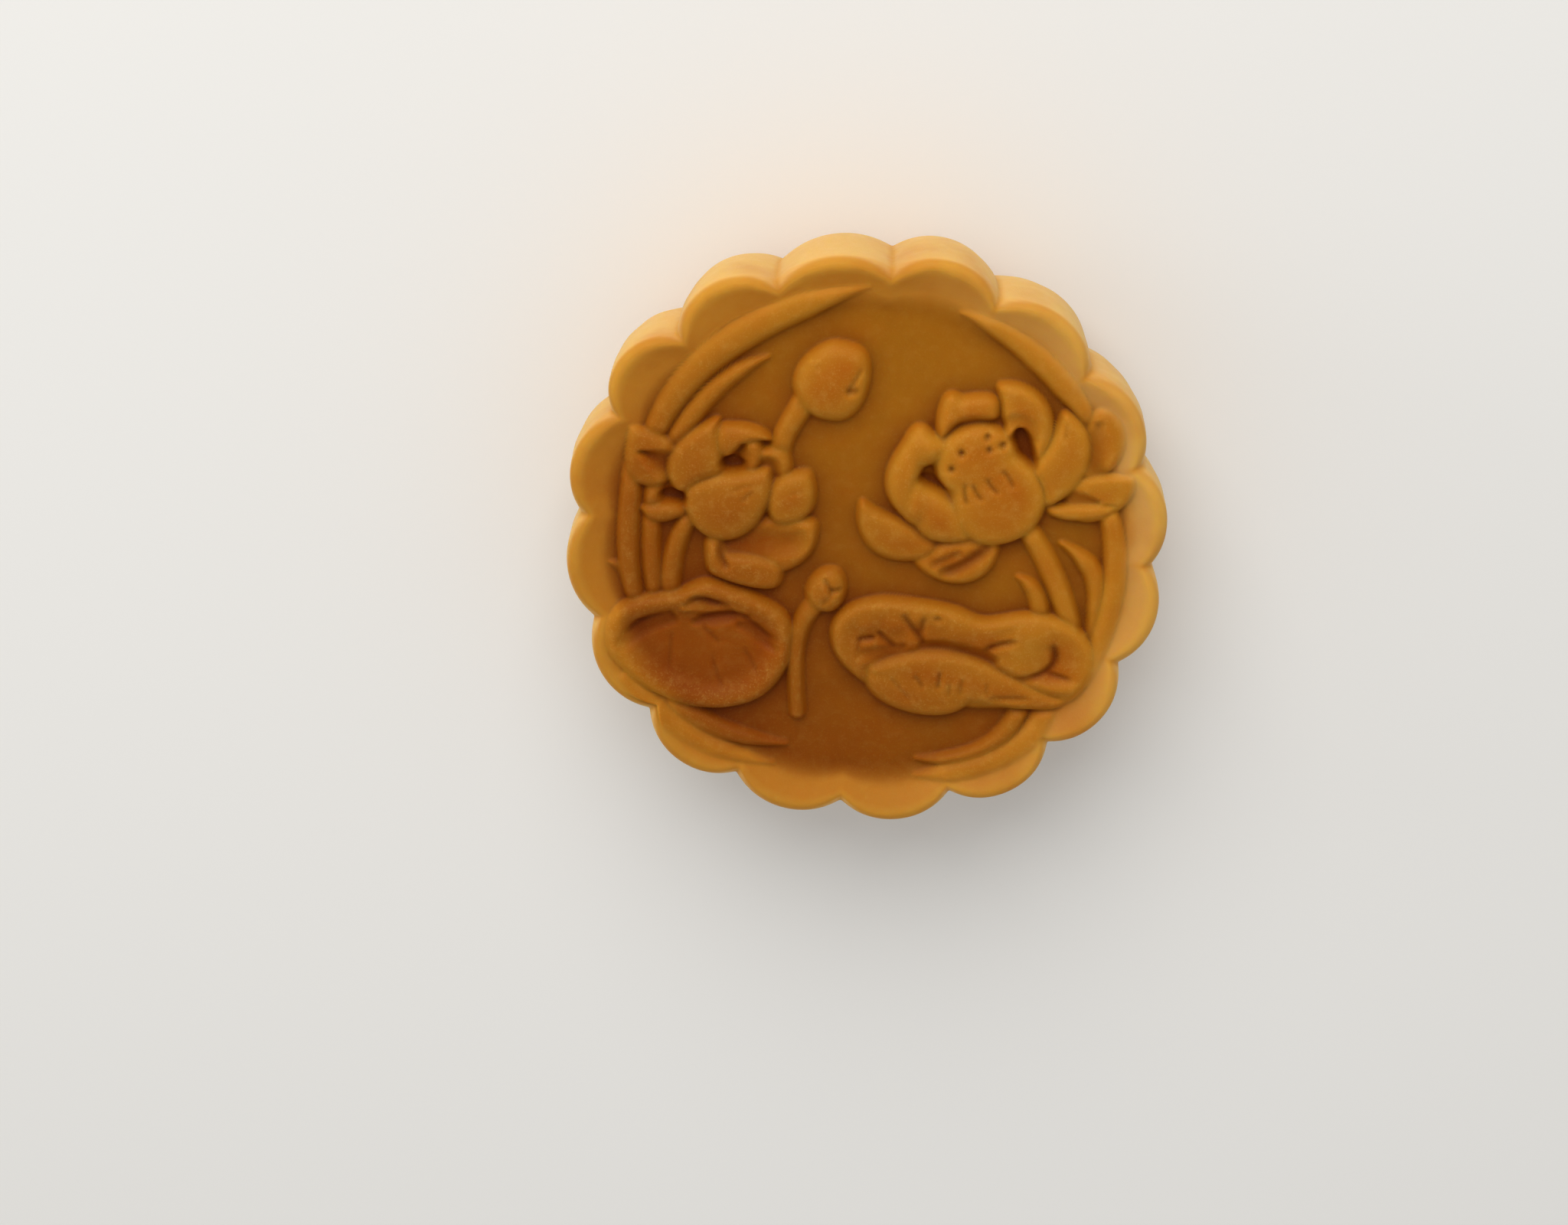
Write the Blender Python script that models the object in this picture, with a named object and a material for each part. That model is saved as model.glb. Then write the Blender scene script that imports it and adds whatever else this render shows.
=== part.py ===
"""A whole round mooncake, pressed in a scalloped mould: sixteen lobes round a flat face, a soft wall that
rounds in to the base, and a lotus pond in relief on the face. It is one solid of crust and filling."""

import bpy
import numpy as np

for item in list(bpy.data.objects):
    bpy.data.objects.remove(item, do_unlink=True)

# Body, in millimetres and degrees
LOBES = 16
LOBE_RADIUS = 35.9
NOTCH_RADIUS = 33.7
NOTCH_ROUNDING = 0.12
FIRST_NOTCH = 90.0
RIM_HEIGHT = 21.7
GROUND_HEIGHT = 19.7
GROUND_RADIUS = 29.0
RIM_ROUNDING = 0.5
TOP_ROUND_AT_LOBE = 1.1
TOP_ROUND_AT_NOTCH = 1.3
NOTCH_DIP = 0.7
BASE_ROUND_HIGH = 16.7
BASE_ROUND_DEEP = 6.8
LOBE_FADE_AT_BASE = 0.25

# How far each notch stands from an even spacing, and how far each lobe stands from the usual radius:
# the cake was pressed by hand, so no two are alike. Both go clockwise from the first notch.
NOTCH_DRIFT = (-0.1, 0.7, -0.3, -0.1, 1.0, 1.2, 1.0, 0.3, 0.0, -0.2, -0.6, -1.2, -1.6, -1.6, 0.1, 0.4)
LOBE_DRIFT = (0.25, 0.2, -0.15, -0.4, -0.25, 0.1, 0.45, 0.1, -0.1, 0.1, -0.1, -0.4, 0.1, 0.7, 0.7, -0.35)

# Relief, in millimetres above the ground of the face. Its middle lies a little above the body's middle
CARVING_STEP = 0.125
CARVING_HALF = 36.5
CARVING_UP = 0.7
PETAL_CORNER = 0.35
FOOT = 0.15
BAKED_SOFTNESS = 0.16

# Mesh
FACE_GRID = 190
TRIANGLES = 11600


def petal_outline(base_x, base_y, tip_x, tip_y, left, left_at, left_bow, right, right_at, right_bow):
    """Closed outline of a petal. Along the line from base to tip, each side stands off by its bulge times
    ((u / at) ** at * ((1 - u) / (1 - at)) ** (1 - at)) ** bow, which is 1 at u = at and 0 at both ends: a
    high bow draws the ends out. The corners are then rounded, by leaving out the outline's quick turns."""
    u = np.clip(0.5 - 0.5 * np.cos(np.linspace(0.0, np.pi, 33)), 1e-9, 1.0 - 1e-9)
    along = np.array([tip_x - base_x, tip_y - base_y])
    across = np.array([-along[1], along[0]]) / np.hypot(*along)
    middle = np.array([base_x, base_y]) + np.outer(u, along)
    sides = []
    for bulge, at, bow in ((left, left_at, left_bow), (-right, right_at, right_bow)):
        off = bulge * ((u / at) ** at * ((1 - u) / (1 - at)) ** (1 - at)) ** bow
        sides.append(middle + np.outer(off, across))
    return rounded(np.vstack([sides[0], sides[1][::-1][1:-1]]), PETAL_CORNER)


def rounded(outline, softness):
    """A closed outline with its corners rounded: its points are spaced evenly, and each wave of the curve
    along it is weakened by exp(-0.5 * (2 pi * softness / wavelength) ** 2)."""
    closed = np.vstack([outline, outline[:1]])
    run = np.concatenate([[0.0], np.cumsum(np.hypot(*np.diff(closed, axis=0).T))])
    even = np.linspace(0.0, run[-1], 65)[:-1]
    curve = np.interp(even, run, closed[:, 0]) + 1j * np.interp(even, run, closed[:, 1])
    waves = np.fft.fftfreq(len(even), run[-1] / len(even))
    curve = np.fft.ifft(np.fft.fft(curve) * np.exp(-0.5 * (2 * np.pi * softness * waves) ** 2))
    return np.stack([curve.real, curve.imag], 1)


def leaf_outline(corners):
    """Closed outline of a lotus leaf: the smooth curve that runs through its corners, each stretch a cubic
    whose slope at a corner is half of the way from the corner before to the corner after."""
    p = np.array(corners, float)
    before, after, next_after = np.roll(p, 1, 0), np.roll(p, -1, 0), np.roll(p, -2, 0)
    t = np.arange(6)[:, None, None] / 6
    points = (
        (1 + 2 * t) * (1 - t) ** 2 * p + t**2 * (3 - 2 * t) * after
        + t * (1 - t) ** 2 * 0.5 * (after - before) - t**2 * (1 - t) * 0.5 * (next_after - p)
    )
    return points.transpose(1, 0, 2).reshape(-1, 2)


class Carving:
    """Heights on a square raster over the face. Each shape is pressed over those that came before."""

    def __init__(self):
        self.axis = np.arange(-CARVING_HALF, CARVING_HALF + CARVING_STEP / 2, CARVING_STEP)
        self.height = np.zeros((len(self.axis), len(self.axis)))

    def window(self, low, high):
        """The part of the raster between two corners, with the x and y of its points."""
        x0, y0 = np.maximum(np.floor((low + CARVING_HALF) / CARVING_STEP).astype(int), 0)
        x1, y1 = np.ceil((high + CARVING_HALF) / CARVING_STEP).astype(int) + 1
        part = (slice(y0, y1), slice(x0, x1))
        return part, *np.meshgrid(self.axis[part[1]], self.axis[part[0]])

    def inside(self, outlines):
        """The window around some outlines, with each point's distance to the edge of the shape that they
        make together: positive inside. For one outline the distance is the least over its sides, and a
        point is inside when a ray from it crosses an odd number of them. Outlines join in a rounded corner:
        the shape's distance is log(sum(exp(3 * distance))) / 3. Its foot spreads by FOOT."""
        every = np.vstack(outlines)
        part, x, y = self.window(every.min(0) - 1.2, every.max(0) + 1.2)
        joined = np.zeros(x.shape)
        for outline in outlines:
            side = np.roll(outline, -1, 0) - outline
            dx, dy = x[..., None] - outline[:, 0], y[..., None] - outline[:, 1]
            t = np.clip((dx * side[:, 0] + dy * side[:, 1]) / np.sum(side**2, 1), 0, 1)
            away = np.sqrt(((dx - t * side[:, 0]) ** 2 + (dy - t * side[:, 1]) ** 2).min(-1))
            spans = (dy < 0) != (dy < side[:, 1])
            slope = side[:, 0] / np.where(side[:, 1] == 0, 1e-9, side[:, 1])
            crossed = np.sum(spans & (dx < slope * dy), -1) % 2
            joined += np.exp(3.0 * np.where(crossed, away, -away))
        return part, x, y, np.log(joined) / 3.0 + FOOT

    def along(self, ends, widths, spread=1.0):
        """The window around the cubic curve with these four control points. For each point: how far along
        the curve its nearest place is, from 0 to 1, its distance to it, and the half width there."""
        p = np.array(ends, float).reshape(4, 2)
        t = np.linspace(0.0, 1.0, 36)
        s = t[:, None]
        points = (1 - s) ** 3 * p[0] + 3 * s * (1 - s) ** 2 * p[1] + 3 * s**2 * (1 - s) * p[2] + s**3 * p[3]
        reach = max(widths) * 0.5 * spread + 1.2
        part, x, y = self.window(points.min(0) - reach, points.max(0) + reach)
        start, side = points[:-1], np.diff(points, axis=0)
        dx, dy = x[..., None] - start[:, 0], y[..., None] - start[:, 1]
        share = np.clip((dx * side[:, 0] + dy * side[:, 1]) / np.sum(side**2, 1), 0, 1)
        away = (dx - share * side[:, 0]) ** 2 + (dy - share * side[:, 1]) ** 2
        nearest = away.argmin(-1)[..., None]
        at = (t[nearest] + np.take_along_axis(share, nearest, -1) * t[1])[..., 0]
        off = np.sqrt(np.take_along_axis(away, nearest, -1)[..., 0])
        return part, at, off, np.maximum(0.5 * np.interp(at, np.linspace(0, 1, len(widths)), widths), 0.02)

    def press(self, part, depth_in, own, edge, tuck):
        """Presses a shape of height own over what is there. What lies behind is pushed down by tuck, times
        a bell that fades 0.45 mm out from the shape's edge."""
        behind = self.height[part]
        pushed = behind - tuck * np.exp(-((np.minimum(depth_in, 0) / 0.45) ** 2)) * np.clip(behind, 0, 1)
        under = pushed * np.clip(1 - depth_in / edge, 0, 1)
        self.height[part] = np.where(depth_in > 0, np.maximum(own, under), pushed)

    def petal(self, shapes, rise, edge, crown=0.3, tilt=0.0, tuck=0.3):
        """A pillow, made of one petal outline or of several that run together. Its shoulders are quarters
        of an ellipse, edge wide and rise high. On them lies a dome for each outline, crown high: the ellipse
        that spreads as wide as the outline does. Tilt is how much higher the first tip is than its base."""
        outlines = [petal_outline(*shape) for shape in shapes]
        part, x, y, d = self.inside(outlines)
        base, tip = np.array(shapes[0][:2]), np.array(shapes[0][2:4])
        along = (tip - base) / np.sum((tip - base) ** 2)
        u = (x - base[0]) * along[0] + (y - base[1]) * along[1] - 0.5
        shoulder = np.sqrt(np.clip(1 - (1 - np.clip(d / edge, 0, 1)) ** 2, 0, 1))
        flat = np.ones(x.shape)
        for outline in outlines:
            off = np.stack([x, y], -1) - outline.mean(0)
            spread = np.linalg.inv(np.cov(outline.T))
            flat *= 1 - np.clip(1 - 0.5 * np.einsum("...i,ij,...j", off, spread, off), 0, 1) ** 1.5
        self.press(part, d, shoulder * (rise + tilt * u + crown * (1 - flat)), min(edge, 1.2), tuck)

    def leaf(self, corners, rim, middle, rim_width, edge=1.2):
        """A lotus leaf: a rolled rim, a bell rim_width wide, around a lower middle."""
        part, _, _, d = self.inside([leaf_outline(corners)])
        shoulder = np.sqrt(np.clip(1 - (1 - np.clip(d / edge, 0, 1)) ** 2, 0, 1))
        roll = np.exp(-((np.maximum(d - 1.2, 0) / rim_width) ** 2))
        self.press(part, d, shoulder * (middle + (rim - middle) * roll), edge, 0.3)

    def blade(self, ends, widths, rise, tuck=0.3):
        """A stem or a blade of grass: a rounded band along a curve, as wide as the widths say along it."""
        part, _, off, half = self.along(ends, widths)
        half = half + FOOT
        share = np.clip(off / half, 0, 1)
        own = np.minimum(rise, 0.95 * half + 0.25 * rise) * np.clip(1 - share**2.4, 0, 1) ** 0.55
        self.press(part, half - off, own, 0.6, tuck)

    def scoop(self, shape, floor, edge):
        """A hole with a petal's outline: down to its floor inside, with walls edge wide that ease in."""
        part, _, _, d = self.inside([petal_outline(*shape)])
        share = np.clip(d / edge, 0, 1)
        share = share**2 * (3 - 2 * share)
        self.height[part] += np.minimum(floor - self.height[part], 0) * share

    def hollow(self, ends, widths, depth, floor=0.0):
        """A soft hollow along a curve, deepest along its middle, but nowhere deeper than its floor. A
        negative depth makes a soft swell."""
        part, _, off, half = self.along(ends, widths)
        bell = np.clip(1 - (off / (1.15 * half)) ** 2, 0, 1) ** 1.3
        before = self.height[part]
        self.height[part] = np.maximum(before - depth * bell, np.minimum(before, floor))

    def crease(self, ends, width, depth):
        """A fine groove along a curve, with a bell for its section, which runs out at both ends."""
        part, at, off, _ = self.along(ends, (width, width), 3.0)
        ends_out = np.clip(np.minimum(at, 1 - at) / 0.22, 0, 1) ** 0.5
        groove = depth * ends_out * np.exp(-((off / (0.6 * width)) ** 2))
        self.height[part] -= np.minimum(groove, 0.9 * np.maximum(self.height[part], 0))

    def bump(self, x, y, size, rise):
        """A round bump or, with a negative rise, a dent: a bell of this size."""
        part, px, py = self.window(np.array([x, y]) - 3 * size, np.array([x, y]) + 3 * size)
        self.height[part] += rise * np.exp(-((px - x) ** 2 + (py - y) ** 2) / size**2)


def blurred(raster, softness):
    """A raster blurred by a bell of this many millimetres, by weakening its short waves."""
    waves = np.fft.fftfreq(raster.shape[0], CARVING_STEP)
    weaker = np.exp(-0.5 * (2 * np.pi * softness * waves) ** 2)
    return np.fft.ifft2(np.fft.fft2(raster) * np.outer(weaker, weaker)).real


def on_raster(raster, x, y):
    """A raster's value at any points, in proportion between its four nearest points."""
    last = raster.shape[0] - 1.001
    u = np.clip((x + CARVING_HALF) / CARVING_STEP, 0, last)
    v = np.clip((y + CARVING_HALF) / CARVING_STEP, 0, last)
    i, j = u.astype(int), v.astype(int)
    u, v = u - i, v - j
    low = raster[j, i] * (1 - u) + raster[j, i + 1] * u
    high = raster[j + 1, i] * (1 - u) + raster[j + 1, i + 1] * u
    return low * (1 - v) + high * v


def outline_radius(angle):
    """Radius of the scalloped outline at these angles: between two notches, an arc of a circle that passes
    through both and bulges out to the lobe's own radius. The bottom of each notch is rounded."""
    step = 360.0 / LOBES
    notches = np.array([FIRST_NOTCH - step * k + NOTCH_DRIFT[k] for k in range(LOBES)])
    turn = np.mod(notches[0] - np.degrees(angle), 360.0)
    ends = np.append(notches[0] - notches, 360.0)
    k = np.clip(np.searchsorted(ends, turn, side="right") - 1, 0, LOBES - 1)
    half = np.radians(ends[k + 1] - ends[k]) / 2
    off = np.radians(turn - ends[k]) - half
    tip = LOBE_RADIUS + np.array(LOBE_DRIFT)[k]
    centre = (tip**2 - NOTCH_RADIUS**2) / (2 * (tip - NOTCH_RADIUS * np.cos(half)))
    arc = tip - centre
    radius = centre * np.cos(off) + np.sqrt(arc**2 - (centre * np.sin(off)) ** 2)
    return NOTCH_RADIUS + np.hypot(radius - NOTCH_RADIUS, NOTCH_ROUNDING)


def lobe_share(angle):
    """1 at the top of a lobe, 0 in a notch."""
    return np.clip((outline_radius(angle) - NOTCH_RADIUS) / (LOBE_RADIUS - NOTCH_RADIUS), 0, 1)


def rim_of(angle):
    """Radius and height of the rim's crest, and how far the wall's top rounding reaches in and down."""
    share = lobe_share(angle)
    inward = TOP_ROUND_AT_NOTCH + (TOP_ROUND_AT_LOBE - TOP_ROUND_AT_NOTCH) * share
    uneven = 0.12 * np.sin(angle + 0.6) + 0.1 * np.sin(2 * angle + 1.9) + 0.06 * np.sin(5 * angle + 0.4)
    height = RIM_HEIGHT - NOTCH_DIP * (1 - share) ** 1.6 + uneven
    return outline_radius(angle) - inward, height, inward


def face_height(x, y, relief):
    """Height of the face: a flat ground, and above it the root of the sum of the squares of two rises, the
    rim's and the relief's. The rim climbs ever more steeply to its rounded crest. Holes in the relief that
    reach below the ground are taken off at the end."""
    radius, angle = np.hypot(x, y), np.arctan2(y, x)
    crest, height, _ = rim_of(angle)
    ground = GROUND_HEIGHT + 0.08 * np.sin(0.16 * x + 1.0) * np.cos(0.13 * y)
    inward = np.hypot(np.maximum(crest - radius, 0), RIM_ROUNDING) - RIM_ROUNDING
    climb = np.clip(1 - inward / (crest - GROUND_RADIUS), 0, 1) ** 1.7
    edge = np.clip((crest + 0.6 - radius) / 0.6, 0, 1)
    carved = on_raster(relief, x, y - CARVING_UP) * edge
    return ground + np.hypot(np.maximum(carved, 0), (height - ground) * climb) + np.minimum(carved, 0)


def wall_ring(angle, down):
    """Points of the wall at one level. Down runs from 0 at the crest, through 1 where the top rounding ends
    and 2 where the base rounding starts, to 3 at the edge of the flat base."""
    crest, height, inward = rim_of(angle)
    outer = outline_radius(angle)
    mean = 0.5 * (LOBE_RADIUS + NOTCH_RADIUS)
    shoulder = height - 1.15 * inward
    if down < 1:
        a = 0.5 * np.pi * down
        radius, z = outer - inward * (1 - np.sin(a)), height - 1.15 * inward * (1 - np.cos(a))
    elif down < 2:
        radius, z = outer, shoulder + (BASE_ROUND_HIGH - shoulder) * (down - 1)
    else:
        a = 0.5 * np.pi * (down - 2)
        low = np.sin(a)
        radius = mean + (outer - mean) * (1 - LOBE_FADE_AT_BASE * low**2) - BASE_ROUND_DEEP * (1 - np.cos(a))
        z = np.full(angle.shape, BASE_ROUND_HIGH * (1 - low))
    bulge = np.sin(np.pi * np.clip(z / height, 0, 1))
    uneven = 0.1 * np.sin(3 * angle + 0.35 * z) + 0.08 * np.sin(7 * angle - 0.5 * z + 1.0)
    radius = radius + bulge * uneven
    return np.stack([radius * np.cos(angle), radius * np.sin(angle), z], 1)


def disc_grid(n):
    """An n by n grid of squares spread over the unit disc, as x and y. Its border walks round the circle at
    even angles."""
    a, b = np.meshgrid(np.linspace(-1, 1, n + 1), np.linspace(-1, 1, n + 1))
    wide = np.abs(a) > np.abs(b)
    r = np.where(wide, a, b)
    with np.errstate(divide="ignore", invalid="ignore"):
        turn = np.where(wide, 0.25 * np.pi * b / a, 0.5 * np.pi - 0.25 * np.pi * a / b)
    turn = np.where(r == 0, 0.0, turn)
    return r * np.cos(turn), r * np.sin(turn)


def build_cake(n, levels, base_rings, relief):
    """Vertices and faces of the whole cake: the face as a grid over a disc, then the wall in rings from its
    border, then the flat base."""
    u, v = disc_grid(n)
    angle = np.arctan2(v, u)
    reach = np.hypot(u, v)
    crest, _, _ = rim_of(angle)
    radius = reach * (32.0 + (crest - 32.0) * reach**3)
    x, y = radius * np.cos(angle), radius * np.sin(angle)
    top = np.stack([x.ravel(), y.ravel(), face_height(x, y, relief).ravel()], 1)
    number = np.arange((n + 1) ** 2).reshape(n + 1, n + 1)
    corners = (number[:-1, :-1], number[:-1, 1:], number[1:, 1:], number[1:, :-1])
    faces = [np.stack(corners, -1).reshape(-1, 4)]
    border = np.concatenate([number[0, :-1], number[:-1, -1], number[-1, :0:-1], number[:0:-1, 0]])
    around = np.arctan2(v, u)[tuple(np.unravel_index(border, number.shape))]
    rings = [top]
    last, count = border, len(top)
    for down in levels:
        ring = wall_ring(around, down)
        rings.append(ring)
        here = count + np.arange(len(ring))
        count += len(ring)
        faces.append(np.stack([last, here, np.roll(here, -1), np.roll(last, -1)], 1))
        last = here
    rim = rings[-1]
    for share in base_rings:
        rings.append(rim * np.array([share, share, 0.0]))
        here = count + np.arange(len(rim))
        count += len(rim)
        faces.append(np.stack([last, here, np.roll(here, -1), np.roll(last, -1)], 1))
        last = here
    rings.append(np.zeros((1, 3)))
    fan = np.stack([last, np.full(len(last), count), np.roll(last, -1)], 1)
    points = np.vstack(rings)
    middle = 0.5 * (points.max(0) + points.min(0))
    points[:, :2] -= middle[:2]
    return points, np.vstack(faces), fan


# The pond: two open flowers, two buds, two round leaves, and grass and stems along the rim, pressed
# from the back to the front.
pond = Carving()

# Grass and stems along the rim: control points, widths from end to end, rise
for ends, widths, rise in (
    ((-26.0, 10.0, -22.6, 22.0, -11.8, 27.6, -2.3, 30.8), (2.4, 3.3, 3.6, 3.1, 0.3), 1.4),
    ((-13.2, 21.3, -17.7, 19.3, -21.2, 14.9, -23.6, 9.4), (0.2, 1.5, 2.0, 2.2, 1.9), 1.2),
    ((8.3, 28.6, 14.0, 27.4, 21.4, 21.8, 24.4, 16.9), (0.3, 2.0, 2.7, 2.8, 1.3), 1.35),
    ((18.4, -3.2, 20.6, -3.9, 21.3, -6.4, 21.6, -8.4), (0.4, 1.4, 1.7, 1.9, 2.0), 1.1),
    ((18.8, 2.9, 21.6, -0.6, 23.8, -4.7, 25.2, -8.9), (2.2, 2.3, 2.3, 2.2), 1.3),
    ((23.0, 1.5, 28.6, -1.1, 28.4, -4.8, 28.1, -10.3), (0.4, 2.0, 2.2, 2.2, 1.5), 1.2),
    ((27.9, 6.1, 31.0, -0.8, 29.7, -8.6, 27.4, -15.5), (2.0, 2.4, 2.4, 2.3, 1.8), 1.4),
    ((20.3, -20.3, 18.8, -25.9, 14.0, -27.9, 8.6, -27.9), (2.1, 2.1, 1.9, 1.6, 0.3), 1.25),
    ((23.3, -20.1, 22.0, -26.6, 14.4, -29.2, 8.6, -30.0), (2.4, 2.5, 2.4, 2.2, 0.4), 1.35),
    ((-27.0, -20.0, -22.6, -25.8, -16.0, -29.2, -8.6, -30.0), (1.8, 2.4, 2.2, 0.4), 1.3),
    ((-21.0, -22.6, -17.6, -26.0, -12.0, -27.4, -7.2, -27.4), (2.0, 2.2, 1.8, 0.3), 1.2),
    ((-29.9, -5.7, -28.1, -6.2, -27.6, -7.3, -27.2, -9.1), (0.5, 1.2, 1.4, 1.2), 1.0),
    ((-25.3, 4.9, -25.7, -0.4, -25.3, -5.2, -24.2, -9.9), (1.8, 1.9, 2.0, 1.9), 1.15),
    ((-20.9, 0.7, -22.5, -2.3, -22.9, -5.7, -22.5, -9.1), (1.7, 2.0, 2.1, 2.0), 1.2),
    ((-28.2, 6.5, -27.9, 0.3, -28.5, -5.1, -26.6, -10.1), (1.8, 2.3, 2.4, 2.2, 1.7), 1.4),
):
    pond.blade(ends, widths, rise)

# Left leaf, with its rolled rim and folds
pond.leaf(
    (
        (-29.9, -14.5), (-29.0, -11.4), (-25.8, -9.6), (-21.6, -8.5), (-18.5, -7.0), (-15.0, -7.6),
        (-11.0, -8.9), (-8.4, -10.9), (-7.3, -15.0), (-10.5, -21.0), (-16.5, -23.3), (-23.0, -22.0),
        (-28.5, -18.0),
    ),
    1.85, 0.7, 1.8,
)
for ends, widths, depth in (
    ((-27.6, -15.6, -26.6, -14.0, -25.0, -13.0, -22.0, -12.2), (2.0, 2.6, 2.6, 1.6), 0.5),
    ((-20.4, -10.1, -18.8, -9.5, -17.2, -10.1, -15.0, -10.3), (1.0, 1.6, 1.6, 0.9), 0.5),
    ((-19.4, -12.3, -17.2, -12.1, -15.6, -11.4, -13.0, -11.0), (1.0, 1.8, 1.6, 0.9), 0.45),
    ((-14.0, -12.3, -12.2, -12.5, -11.4, -13.6, -9.6, -14.8), (1.2, 1.8, 1.8, 1.2), 0.45),
):
    pond.hollow(ends, widths, depth)
pond.hollow((-20.8, -10.6, -18.6, -10.1, -16.4, -10.1, -13.6, -10.4), (1.0, 1.8, 1.6, 0.8), -0.35)
for ends, width, depth in (
    ((-27.4, -14.6, -26.6, -12.9, -24.6, -11.8, -21.8, -11.2), 0.7, 0.5),
    ((-20.4, -9.6, -18.8, -8.6, -18.0, -9.6, -15.2, -9.7), 0.75, 0.7),
    ((-19.3, -11.7, -17.0, -11.5, -15.6, -10.8, -13.3, -10.5), 0.75, 0.65),
    ((-13.8, -11.4, -12.2, -11.4, -11.6, -13.1, -9.2, -13.7), 0.7, 0.5),
    ((-26.7, -12.5, -25.9, -12.9, -25.3, -12.8, -24.6, -12.4), 0.45, 0.25),
    ((-22.7, -10.9, -22.4, -11.2, -22.1, -11.6, -21.9, -12.0), 0.5, 0.3),
    ((-18.6, -12.7, -17.8, -13.3, -17.2, -14.0, -16.0, -15.0), 0.6, 0.3),
    ((-22.0, -13.8, -22.0, -14.6, -22.1, -16.4, -22.0, -19.0), 0.5, 0.2),
    ((-17.0, -16.0, -16.8, -17.6, -16.2, -19.2, -15.2, -20.6), 0.5, 0.2),
    ((-13.4, -15.0, -12.6, -16.2, -12.0, -17.2, -11.2, -18.4), 0.5, 0.2),
):
    pond.crease(ends, width, depth)

# Right leaf: lumps and creases at its left, a ball of dough at its right, and its lower side turned over
pond.leaf(
    (
        (-3.0, -12.2), (-1.7, -9.1), (2.2, -7.3), (7.5, -7.3), (11.5, -7.8), (15.0, -8.8), (20.5, -7.6),
        (25.3, -8.5), (28.2, -11.6), (28.0, -15.6), (25.4, -18.9), (20.0, -19.9), (12.0, -20.4),
        (4.0, -19.6), (-1.4, -16.0),
    ),
    1.75, 1.05, 2.6,
)
pond.hollow((0.8, -14.4, 2.2, -14.6, 3.6, -14.2, 5.6, -13.2), (1.6, 2.2, 2.0, 1.2), 0.45)
pond.hollow((8.0, -12.9, 10.4, -12.5, 13.0, -12.4, 16.6, -13.8), (1.6, 2.0, 1.8, 1.6), 0.6)
pond.hollow((19.4, -14.0, 19.9, -13.2, 20.4, -12.0, 20.8, -11.0), (6.6, 7.4, 7.0, 5.0), -0.75)
for x, y, size, rise in (
    (4.3, -10.4, 1.1, 0.3), (6.9, -9.3, 0.8, 0.25), (1.1, -10.6, 0.9, 0.25), (11.6, -10.4, 1.7, 0.3),
    (1.6, -13.1, 0.6, 0.2), (6.4, -12.2, 0.6, 0.2),
):
    pond.bump(x, y, size, rise)
for ends, width, depth in (
    ((5.2, -8.6, 6.0, -10.2, 7.4, -11.0, 8.1, -12.8), 0.7, 0.55),
    ((8.0, -8.9, 7.5, -9.6, 7.6, -10.4, 7.7, -11.2), 0.6, 0.4),
    ((9.9, -8.9, 9.6, -9.0, 9.3, -9.0, 8.9, -9.0), 0.6, 0.4),
    ((0.0, -12.6, 0.7, -12.5, 1.6, -12.4, 2.3, -12.1), 0.55, 0.5),
    ((2.5, -11.2, 2.8, -12.0, 3.8, -12.6, 4.8, -13.4), 0.6, 0.5),
    ((0.2, -12.6, 0.5, -13.2, 0.4, -13.6, 0.1, -14.1), 0.45, 0.3),
    ((15.3, -12.9, 16.0, -11.9, 17.4, -11.4, 19.2, -10.9), 0.7, 0.55),
    ((23.1, -11.0, 24.7, -12.8, 23.8, -15.4, 19.2, -15.9), 0.75, 0.6),
    ((22.9, -14.9, 24.0, -15.0, 24.8, -15.2, 26.2, -15.4), 0.6, 0.45),
):
    pond.crease(ends, width, depth)
pond.hollow((20.4, -16.9, 22.4, -16.9, 24.2, -16.8, 26.2, -16.2), (1.2, 1.8, 2.0, 1.6), -0.35)
pond.petal(
    (
        (25.8, -17.9, 1.4, -16.0, 2.6, 0.4, 0.8, 3.45, 0.6, 3.2),
        (14.6, -18.4, 1.6, -16.6, 4.3, 0.5, 0.8, 0.5, 0.5, 0.9),
    ),
    1.6, 1.3, 0.3, 0.0, 0.4,
)
for ends, width, depth in (
    ((10.3, -15.6, 10.4, -16.4, 10.2, -17.2, 10.3, -18.0), 0.5, 0.4),
    ((7.2, -16.5, 7.8, -16.9, 8.0, -17.3, 8.6, -18.0), 0.5, 0.35),
    ((13.2, -16.3, 12.9, -17.2, 12.9, -17.8, 13.2, -18.6), 0.5, 0.25),
    ((11.7, -16.9, 11.6, -17.5, 11.8, -18.2, 11.6, -18.9), 0.45, 0.2),
    ((16.2, -16.6, 16.0, -17.1, 16.0, -17.5, 16.3, -18.2), 0.5, 0.2),
    ((16.2, -18.7, 17.6, -18.4, 18.8, -18.4, 21.4, -18.2), 0.6, 0.35),
    ((4.4, -17.0, 5.4, -17.9, 6.2, -18.8, 7.4, -19.8), 0.5, 0.25),
):
    pond.crease(ends, width, depth)

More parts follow.
